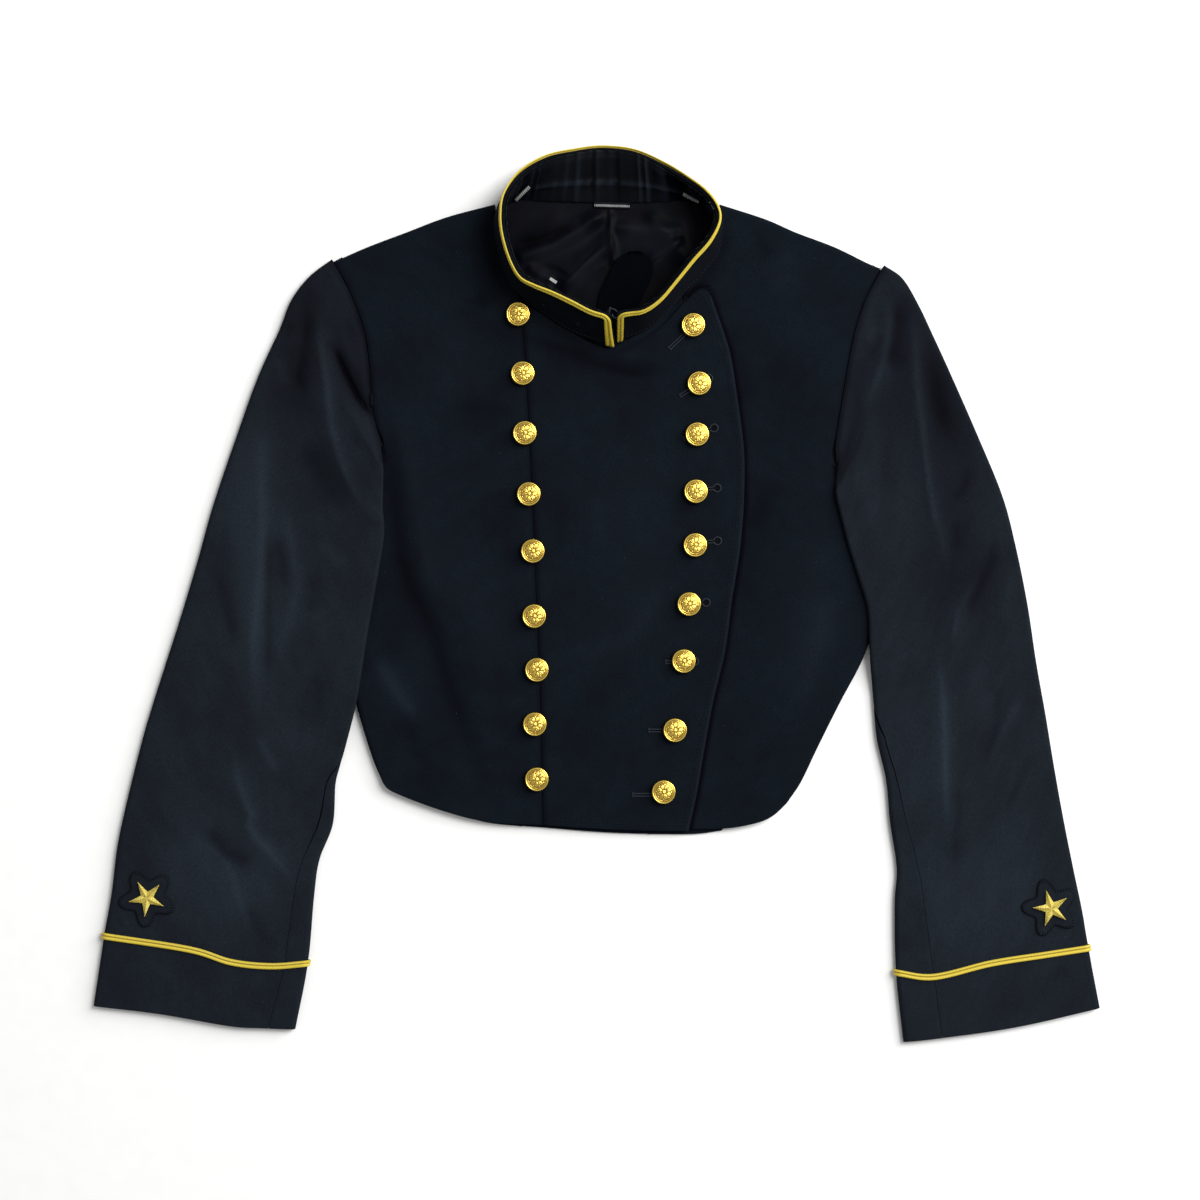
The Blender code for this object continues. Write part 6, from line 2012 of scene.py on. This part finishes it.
@dataclass
class StandingCollar:
    """The standing collar: its cloth, satin lining, braid, tabs, eyelets and hook."""

    wall: float = 2.5
    bulge: float = 0.8
    foot_drop: float = 0.8          # the cloth beds into the fronts a little more than the solid does
    ease_in: float = 1.7            # between the cloth and its lining
    columns: int = 260
    levels: int = 14
    gathers: int = 50               # all round the neck, deepest across the back
    gather_depth: float = 1.2
    gathered: tuple = (10.3, 17.2)  # stations between which its gathers are deepest
    gather_fade: float = 14.0       # over which they come and go
    pleats: tuple = (12.65, 13.45)  # stations of the two deep pleats at the back, darkened with painted shade
    pleat_width: float = 1.8
    casing_level: float = 0.36      # height of the line of stitches over the gathers, from the foot; its ridge gets a painted highlight
    braid_bed: float = 0.7          # from the collar's cloth to the braid's valley
    braid_proud: float = 1.6        # braid above the collar's top edge
    braid_bend: float = 4.4         # radius of its turn at both front corners
    cord_wall: float = 0.7
    tab_width: float = 4.6
    tab_wall: float = 0.8
    tab_rib: float = 1.7
    tab_rib_height: float = 0.24
    # Station, and share of the collar's height down from its crest
    eyelet_places: tuple = ((3.4, 0.62), (1.6, 0.6), (18.1, 0.88))
    eyelet: float = 1.3
    eyelet_thread: float = 0.38
    stitched: tuple = ((0.3, 7.5), (17.5, 25.7))        # stations between which the foot is topstitched
    stitch_inset: float = 3.0
    thread: float = 0.3
    inside: tuple = (8, 262, 60)

    def __post_init__(self) -> None:
        """Draws the dense crest and foot lines through the stations."""
        knots = np.array([station.foot + station.crest for station in COLLAR], dtype=float)
        dense = np.array([through(knots, t) for t in np.linspace(0, len(knots) - 1, 520)])
        on_front = np.clip((dense[:, 2] - 2) / 4, 0, 1)
        self.foot = dense[:, :3] - np.outer(on_front, (0, 0, self.foot_drop))
        self.crest = dense[:, 3:]
        self.run = lengths(self.crest)
        self.length = self.run[-1]

    def station(self, number: float) -> float:
        """Gives the distance along the crest at one station of the table."""
        return float(np.interp(number / (len(COLLAR) - 1), np.linspace(0, 1, len(self.run)), self.run))

    def line_at(self, line: np.ndarray, along: np.ndarray) -> np.ndarray:
        """Reads the crest or the foot at distances along the crest."""
        return np.stack([np.interp(along, self.run, line[:, k]) for k in range(3)], axis=-1)

    def points(self, along: np.ndarray | float, down: np.ndarray | float,
               out: np.ndarray | float) -> np.ndarray:
        """Finds points of the collar.

        Args:
            along: distance along the crest.
            down: distance down from the crest.
            out: distance out from the collar's outer side.

        Returns:
            The points in space.
        """
        along = np.atleast_1d(along).astype(float)
        crest, foot = self.line_at(self.crest, along), self.line_at(self.foot, along)
        ahead = self.line_at(self.crest, along + 1.5) - self.line_at(self.crest, along - 1.5)
        drop = foot - crest
        size = np.linalg.norm(drop, axis=1)[:, None]
        drop /= size
        outward = unit(np.cross(ahead, drop))
        down = np.broadcast_to(down, along.shape)[:, None]
        bulge = self.bulge * np.sin(math.pi * np.clip(down / size, 0, 1))
        return crest + drop * down + outward * (np.broadcast_to(out, along.shape)[:, None] + bulge)

    def size(self, along: np.ndarray | float) -> np.ndarray:
        """Gives the distance from crest to foot."""
        along = np.atleast_1d(along)
        return np.linalg.norm(self.line_at(self.foot, along) - self.line_at(self.crest, along), axis=1)

    def band(self) -> None:
        """Makes the collar's outer cloth."""
        along = np.linspace(0, self.length, self.columns)
        size = self.size(along)
        grid = np.array([self.points(along, size * share, 0)
                         for share in np.linspace(1, 0, self.levels)])
        cloth = Cloth("collar_band_cloth", grid, self.wall, COLLAR_WOOL, self.inside)
        cloth.lay("navy_wool", ("front_right", "front_left"), "collar_band", held=Held.GATHERED)

    def lining(self) -> None:
        """Makes the satin lining, gathered all round and deepest across the back of the neck."""
        along = np.linspace(self.wall, self.length - self.wall, 470)
        share = along / self.length
        turns = 2 * math.pi * share
        start, end = (self.station(number) for number in self.gathered)
        behind = ease((along - start) / self.gather_fade) * ease((end - along) / self.gather_fade)
        # No two gathers are alike: their spacing swings a little, and so does how deep each one is
        swing = np.sin(7.3 * turns) + 0.6 * np.sin(17.1 * turns + 1)
        wave = 0.5 - 0.5 * np.cos(2 * math.pi * self.gathers * (share + 0.006 * swing))
        weight = 0.55 + 0.45 * np.sin(8.7 * turns + 0.7) + 0.35 * np.sin(21.3 * turns)
        gather = self.gather_depth * wave ** 1.4 * np.clip(weight, 0.25, 1.2) * (0.55 + 0.65 * behind)
        deep = sum(np.exp(-((along - self.station(number)) / self.pleat_width) ** 2)
                   for number in self.pleats)
        size = self.size(along)
        grid, tone = [], []
        for level in np.linspace(-0.02, 0.975, 20):
            casing = 0.9 * math.exp(-((level - self.casing_level) / 0.05) ** 2) * behind
            hill = 0.45 + 0.55 * math.sin(math.pi * max(level, 0.0))
            held = self.ease_in * (1 - 0.75 * ease((level - 0.8) / 0.17))
            inward = self.wall + held + LINING + gather * hill + casing - 1.2 * deep * hill
            scallop = 1.1 * (wave * np.clip(weight, 0.2, 1.0) - 0.4) * max(level - 0.9, 0.0) / 0.075
            grid.append(self.points(along, size * (1 - level) - scallop, -inward))
            # Painted light and shade: a painted highlight on each gather's crest and on the casing,
            # painted shade in the two pleats, and a little darker towards the fronts
            lit = (wave * np.clip(weight, 0.1, 1.2) - 0.3) * (0.35 + 0.5 * hill) + 0.8 * casing
            tone.append(np.clip(lit - 1.4 * deep * hill - 0.25 * (1 - behind), -1, 1))
        cloth = Cloth("collar_lining_satin", np.array(grid), LINING, COLLAR_SATIN, self.inside,
                      toward=True, edge=0.25, tone=np.array(tone))
        cloth.lay("dark_satin", ("collar_band",), "collar_lining", held=Held.GATHERED)

    def braid_route(self) -> np.ndarray:
        """Draws the braid's centre line in (along, down), from one front end to the other."""
        half, bend = BRAID_WIDTH / 2, self.braid_bend
        foot_start, foot_end = self.size(0)[0] - 1, self.size(self.length)[0] - 1
        crest_line = half - self.braid_proud
        near = half + 0.2
        far = self.length - near
        angles = np.linspace(0, math.pi / 2, 8)
        turn = bend * (1 - np.column_stack([np.cos(angles), np.sin(angles)]))
        route = [(near, down) for down in np.linspace(foot_start, crest_line + bend + 0.5, 14)]
        route += [(near + aside, crest_line + down) for aside, down in turn]
        middle = np.linspace(half + bend + 1, self.length - half - bend - 1, 320)
        route += [(along, crest_line) for along in middle]
        route += [(far - aside, crest_line + down) for aside, down in turn[::-1]]
        route += [(far, down) for down in np.linspace(crest_line + bend + 0.5, foot_end, 14)]
        return np.array(route)

    def braid(self) -> None:
        """Makes the two cords of braid along the crest and down both front ends."""
        route = self.braid_route()
        across = sideways(unit(np.gradient(route, axis=0)))
        grid = []
        for share in CORD_SHARES:
            spot = route + across * share * BRAID_WIDTH
            rise = self.braid_bed + CORD_HEIGHT * cord_bulge(share)
            grid.append(self.points(spot[:, 0], spot[:, 1], rise))
        cloth = Cloth("collar_braid_cords", np.array(grid), self.cord_wall, GOLD_BRAID, self.inside,
                      edge=0.0)
        settle(cloth.build(), "gold_braid", "collar_braid")

    def tabs(self) -> None:
        """Makes the two white tape tabs, ribbed across, slantwise where a liner strip buttons in."""
        inward = self.wall + self.ease_in + self.gather_depth + LINING + 2 * SEAM_GAP + self.tab_wall
        for side, stops in TAB_ENDS.items():
            ends = []
            for number, share in stops:
                along = self.station(number)
                ends.append((along, self.size(along)[0] * (1 - share)))
            start, end = np.array(ends)
            length = np.linalg.norm(end - start)
            across = np.array((start[1] - end[1], end[0] - start[0])) / length
            aside = np.linspace(-1, 1, 9)
            grid = []
            for share in np.linspace(0, 1, 48):
                spots = start + share * (end - start) + aside[:, None] * self.tab_width / 2 * across
                rib = self.tab_rib_height * math.sin(share * length / self.tab_rib * 2 * math.pi)
                grid.append(self.points(spots[:, 0], spots[:, 1], -inward + 0.25 * aside ** 4 + rib))
            name = f"collar_tab_{side.value}"
            cloth = Cloth(f"{name}_tape", np.array(grid), self.tab_wall, WHITE_TAPE, self.inside,
                          toward=True, edge=0.2)
            settle(cloth.build(), "white_tape", name)

    def eyelets(self) -> None:
        """Works the small eyelets in the collar's fronts: a ring of purl round a dark hole."""
        rings, holes = [], []
        angles = np.linspace(0, 2 * math.pi, 25)[:-1]
        for number, share in self.eyelet_places:
            along = self.station(number)
            down = self.size(along)[0] * share
            loop, disc = (
                self.points(along + radius * np.cos(angles), down + radius * np.sin(angles), out)
                for radius, out in ((self.eyelet, 0.15), (self.eyelet - 0.2, 0.12)))
            rings.append(tube(loop, self.eyelet_thread, 6, closed=True))
            holes.append((disc, [list(range(len(disc)))]))
        sewn("collar_eyelet_purl", rings, NAVY_THREAD)
        sewn("collar_eyelet_shade", holes, HOLE_SHADE)

    def topstitching(self) -> None:
        """Sews the row of stitches just above the collar's foot at both fronts."""
        stitches = []
        for first, last in self.stitched:
            along = np.linspace(self.station(first), self.station(last), 200)
            line = self.points(along, self.size(along) - self.stitch_inset, 0.0)
            stitches += stitch_run(line, STITCH, STITCH_GAP, self.thread)
        sewn("collar_topstitching", stitches, NAVY_THREAD)

    def hook(self) -> None:
        """Bends the black hook and eye that close the collar's front ends."""
        sewn("collar_hook_and_eye", [tube(smooth(HOOK, 6), 0.55, 8), tube(smooth(EYE_BAR, 8), 0.7, 8)],
             DARK_STEEL)

    def build(self) -> None:
        """Makes the collar and what is sewn on it."""
        self.band()
        self.lining()
        self.braid()
        self.tabs()
        self.eyelets()
        self.topstitching()
        self.hook()


# ------------------------------------------------------------------ inside the neck
@dataclass
class Neck:
    """Body lining seen through the neck, with the label and the end of tape on it."""

    columns: int = 120
    label_x: tuple = (-4.5, 22.5)
    label_rows: tuple = ((292.8, 4.7), (297.2, 6.4))        # Y and height of its lower and upper edge
    label_middle: float = 9.0
    label_slope: float = -0.03
    tape_wall: float = 0.5
    tape_ends: tuple = ((-37.5, 240.5), (-32.5, 237.3))
    tape_half: tuple = (0.6, 1.0)   # from its middle line to its edge
    thread: float = 0.16

    def lining(self) -> None:
        """Makes the satin lining with the folds it fell in."""
        grid = []
        for line, _ in sections(NECK_LINING, 1.5):
            grid.append(on_top(even(line, self.columns), neck_top))
        cloth = Cloth("neck_lining_satin", np.array(grid), LINING, DARK_SATIN, (6, 260, UNDERNEATH),
                      edge=0.25, surface=NECK_SURFACE)
        cloth.lay("dark_satin", ("back",), "neck_lining")

    def label(self) -> None:
        """Makes the small dark label and the stitches that hold its ends."""
        lower, upper = np.array(self.label_rows)
        grid = []
        for share in np.linspace(0, 1, 7):
            y, top = (1 - share) * lower + share * upper
            x = np.linspace(*self.label_x, 30)
            wave = 0.18 * np.sin(x * 0.5) + 0.15 * math.sin(math.pi * share)
            slope = self.label_slope * (x - self.label_middle)
            grid.append(np.column_stack([x, y + slope, top + wave]))
        inside = (self.label_middle, 294, UNDERNEATH)
        cloth = Cloth("label_tape", np.array(grid), self.tape_wall, LABEL_TAPE, inside, edge=0.15)
        settle(cloth.build(), "white_tape", "label")
        stitches = []
        for x in (self.label_x[0] + 0.9, self.label_x[1] - 0.9):
            ends = [(x, y + self.label_slope * (x - self.label_middle), top + 0.2)
                    for y, top in self.label_rows]
            stitches += stitch_run(np.linspace(*ends, 20), 1.2, 0.5, self.thread)
        sewn("label_stitches", stitches, NAVY_THREAD, "white_tape")

    def tape_end(self) -> None:
        """Makes the short end of white tape that is sewn to the lining near the right front."""
        start, end = np.array(self.tape_ends)
        aside = np.linspace(-1, 1, 5)[:, None] * self.tape_half
        grid = []
        for share in np.linspace(0, 1, 8):
            crinkle = 0.15 * math.sin(share * 18)
            grid.append(on_top(start + share * (end - start) + aside, neck_top, 0.9 + crinkle))
        inside = (*end, UNDERNEATH)
        cloth = Cloth("lining_tape_end", np.array(grid), self.tape_wall, WHITE_TAPE, inside, edge=0.15)
        settle(cloth.build(), "white_tape")

    def build(self) -> None:
        """Makes the lining, the label and the end of tape."""
        self.lining()
        self.label()
        self.tape_end()


# ------------------------------------------------------------------ buttons and buttonholes
# The middle of each keyhole's eye, a point the slit runs towards, and its length
BUTTONHOLES = (
    ((70, 205), (51.6, 187.6), 25.0),
    ((81, 165.6), (59.8, 152.4), 25.0),
    ((85.1, 128.4), (62, 120), 24.0),
    ((87.4, 83.6), (62.5, 81.5), 24.0),
    ((87.7, 44.1), (63, 41.5), 24.0),
    ((79.2, -1.9), (54.5, -3.5), 21.5),
    ((70.5, -45.9), (49.3, -46.3), 21.5),
    ((60.5, -97.5), (36.6, -97.5), 24.0),
    ((49, -145.3), (24.6, -145.6), 24.5),
)


@dataclass
class Buttons:
    """Eighteen gilt buttons in two rows, and nine worked buttonholes in the overlap."""

    radius: float = 9.3
    segments: int = 80
    shank: float = 2.2
    shank_free: float = 1.3
    rim: float = 8.25               # radius of the smooth rim's middle line
    beads: int = 34
    petals: int = 8
    turn: float = 17.0              # degrees from one button's device to the next one's
    left_turn: float = 23.0
    purl: float = 0.62              # radius of the purl's cord
    purl_step: float = 0.95         # from one knot of the purl to the next
    purl_aside: float = 0.95        # from the slit's middle to the cord's
    eye_purl: float = 2.9           # radius of the keyhole's ring of purl
    eye_hole: float = 1.9
    tack_half: float = 2.1          # half of the bar tack at the slit's end

    def dome(self, r: np.ndarray) -> np.ndarray:
        """Gives the height of the button's smooth front."""
        return np.interp(r, (0, 3.0, 5.5, 7.3, 8.5, 9.0, 9.3), (6.1, 6.0, 5.7, 5.35, 5.0, 4.4, 3.4))

    def relief(self, r: np.ndarray, angle: np.ndarray) -> np.ndarray:
        """Gives the stamped relief, 0 to 1: a rim, small beads, and a rosette of leaves round a boss.

        Args:
            r: distance from the middle.
            angle: angle round it.

        Returns:
            The share of the relief's full height.
        """
        rim = np.exp(-((r - self.rim) / 0.5) ** 4)
        bead = np.abs(np.cos(self.beads / 2 * angle))
        ring = 0.55 * np.exp(-((r - 6.9) / 0.38) ** 4) * bead ** 0.7
        turned = (angle * self.petals / (2 * math.pi)) % 1 - 0.5
        width = 0.46 * np.clip(np.sin(math.pi * np.clip((r - 1.5) / 4.4, 0, 1)), 0, 1) ** 0.6
        leaf = np.clip(1 - (np.abs(turned) / np.maximum(width, 0.02)) ** 2, 0, 1) ** 0.5
        vein = 1 - 0.5 * np.exp(-(turned * r / 0.25) ** 2)
        rib = 1 - 0.3 * (0.5 + 0.5 * np.cos(r * 6.5 + np.abs(turned) * 18))
        between = (turned % 1) - 0.5
        small = np.exp(-((r - 5.5) / 0.5) ** 2 - (between * r * 0.785 / 0.5) ** 2)
        boss = np.exp(-(r / 1.25) ** 4) * (0.85 + 0.15 * np.cos(angle * 6))
        rosette = (r < 6.1) * leaf * vein * rib
        return np.maximum.reduce([rim, ring, 0.75 * rosette, 0.8 * boss, 0.7 * small])

    def mesh(self) -> bpy.types.Mesh:
        """Makes the button's mesh once: stamped front, rolled rim, flat back and shank."""
        radii = np.concatenate([np.linspace(0.25, 8.7, 44), (8.9, 9.1, 9.25, 9.3)])
        angle = np.arange(self.segments) / self.segments * 2 * math.pi
        rings, share = [], []
        count = self.segments
        circle = np.column_stack([np.cos(angle), np.sin(angle)])
        for r in radii:
            share.append(self.relief(np.full(count, r), angle))
            rings.append(np.column_stack([r * circle, self.dome(np.array(r)) + 0.5 * share[-1]]))
        # Rolled edge, flat back, and the shank down to its foot: radius and height
        for r, top in ((9.15, 2.3), (8.6, 1.95), (self.shank + 0.3, 1.5), (self.shank, 1.3),
                       (self.shank, 0.3), (0.3, 0.3)):
            share.append(np.full(count, 0.3))
            rings.append(np.column_stack([r * circle, np.full(count, top)]))
        points = np.vstack(rings) * MM
        faces = []
        for base in range(0, (len(rings) - 1) * count, count):
            for k in range(count):
                turn = (k + 1) % count
                faces.append([base + k, base + count + k, base + count + turn, base + turn])
        faces.append(list(range(count)))
        faces.append([(len(rings) - 1) * count + k for k in reversed(range(count))])
        mesh = bpy.data.meshes.new("stamped_button")
        mesh.from_pydata(points.tolist(), [], faces)
        mesh.update()
        mesh.shade_smooth()
        mesh.attributes.new("relief", "FLOAT", "POINT").data.foreach_set(
            "value", np.concatenate(share).astype(np.float32))
        mesh.materials.append(GILT.material())
        return mesh

    def level(self, place: tuple) -> float:
        """Finds the height of a button's shank foot, as on the solids.

        Args:
            place: the button's middle in plan.

        Returns:
            The height.
        """
        def highest(reach: float) -> float:
            """Gives the highest smooth cloth within reach of the place."""
            x, y = np.meshgrid(*(middle + np.array((-reach, 0, reach)) for middle in place))
            return float(max((FRONT_TOP + creases(x, y, FRONT_FOLDS)).max(),
                             (OVERLAP_TOP + creases(x, y, OVERLAP_FOLDS)).max()))
        return max(highest(self.shank), highest(self.radius) - self.shank_free)

    def rows(self) -> None:
        """Sews on both rows of buttons, each turned a little by its own thread."""
        mesh = self.mesh()
        for side, places in ((Side.RIGHT, BUTTONS_RIGHT), (Side.LEFT, BUTTONS_LEFT)):
            for number, place in enumerate(places, 1):
                name = f"button_{side.value}_{number}"
                piece = bpy.data.objects.new(f"{name}_gilt", mesh)
                bpy.context.scene.collection.objects.link(piece)
                piece.location = to_world(np.array((*place, self.level(place))))
                turn = self.turn * number + (self.left_turn if side is Side.LEFT else 0)
                piece.rotation_euler.z = math.radians(turn)
                settle(piece, "gilt_brass", name)

    def buttonholes(self) -> None:
        """Works the nine keyhole buttonholes: purl along both sides of the slit and round its eye."""
        purl, slits = [], []
        around = np.radians(np.linspace(40, 320, 16))
        circle = np.column_stack([np.cos(around), np.sin(around)])
        for eye, end, length in BUTTONHOLES:
            ahead = unit(np.subtract(end, eye))
            aside = np.array((-ahead[1], ahead[0]))
            ring = circle @ np.array((ahead, aside))
            bar = eye + ahead * length
            away_from_eye = np.linspace(length, 2.6, 18)[:, None] * ahead
            route = even(np.vstack([eye + away_from_eye + aside * self.purl_aside,
                                    eye + self.eye_purl * ring,
                                    eye + away_from_eye[::-1] - aside * self.purl_aside]), 170)
            swell = self.purl + 0.1 * np.sin(lengths(route) / self.purl_step * 2 * math.pi)
            purl.append(tube(on_top(route, overlap_top, 0.25), swell, 6))
            tack = np.linspace(bar - aside * self.tack_half, bar + aside * self.tack_half, 6)
            purl.append(tube(on_top(tack, overlap_top, 0.3), 0.5, 6))
            slit = np.vstack([eye + self.eye_hole * ring, bar - aside * 0.5, bar + aside * 0.5])
            slits.append((on_top(slit, overlap_top, 0.12), [list(range(len(slit)))]))
        sewn("buttonhole_purl", purl, PURL_THREAD)
        sewn("buttonhole_slits", slits, HOLE_SHADE)

    def build(self) -> None:
        """Makes the buttonholes and sews on the buttons."""
        self.buttonholes()
        self.rows()


# ------------------------------------------------------------------ floor, light and camera
@dataclass
class Studio:
    """White paper, large soft lights and the camera straight above."""

    height: float = 1.8             # camera above the floor
    lens: float = 72.0              # 900 mm across at the floor
    sensor: float = 36.0
    paper: float = 2500.0           # from its middle to its edge, in millimetres
    paper_drop: float = 0.0004      # just under the cloth
    surround: float = 0.4           # strength of the light from all round
    # Name, place in metres, side in metres and power in watts
    lights: tuple = (("key_light", (1.43, 0.98, 2.85), 1.4, 80),
                     ("raking_light", (3.0, 1.6, 1.9), 2.4, 115))

    def light(self, name: str, place: tuple, size: float, power: float) -> None:
        """Hangs one square soft light, aimed at the jacket's middle.

        Args:
            name: its name.
            place: its place in metres.
            size: its side in metres.
            power: its power in watts.
        """
        lamp = bpy.data.lights.new(name, "AREA")
        lamp.size = size
        lamp.energy = power
        holder = bpy.data.objects.new(name, lamp)
        holder.location = place
        holder.rotation_euler = (-Vector(place)).to_track_quat("-Z", "Y").to_euler()
        bpy.context.scene.collection.objects.link(holder)

    def build(self) -> None:
        """Lays the floor and sets the lights, the surroundings and the camera."""
        corners = np.array([(-1, -1, 0), (1, -1, 0), (1, 1, 0), (-1, 1, 0)]) * self.paper
        floor = new_object("paper_floor", corners, [[0, 1, 2, 3]], PAPER)
        floor.location.z = -self.paper_drop
        for lamp in self.lights:
            self.light(*lamp)
        world = bpy.data.worlds.new("studio")
        world.use_nodes = True
        background = world.node_tree.nodes["Background"]
        background.inputs[0].default_value = linear("#ffffff")
        background.inputs[1].default_value = self.surround
        bpy.context.scene.world = world
        bpy.context.scene.view_settings.view_transform = "Standard"
        camera = bpy.data.cameras.new("camera")
        camera.lens = self.lens
        camera.sensor_width = self.sensor
        holder = bpy.data.objects.new("camera", camera)
        holder.location = (-CENTRE[0] * MM, -CENTRE[1] * MM, self.height)
        bpy.context.scene.collection.objects.link(holder)
        bpy.context.scene.camera = holder


def main() -> None:
    """Builds the jacket piece by piece, then the studio."""
    logging.basicConfig(level=logging.INFO, format="%(name)s %(message)s")
    Body().build()
    Sleeve(Side.RIGHT, star_centre=(-338, -222.5), star_turn=-97).build()
    Sleeve(Side.LEFT, star_centre=(336.5, -230), star_turn=-110).build()
    StandingCollar().build()
    Neck().build()
    Buttons().build()
    Studio().build()


if __name__ == "__main__":
    main()
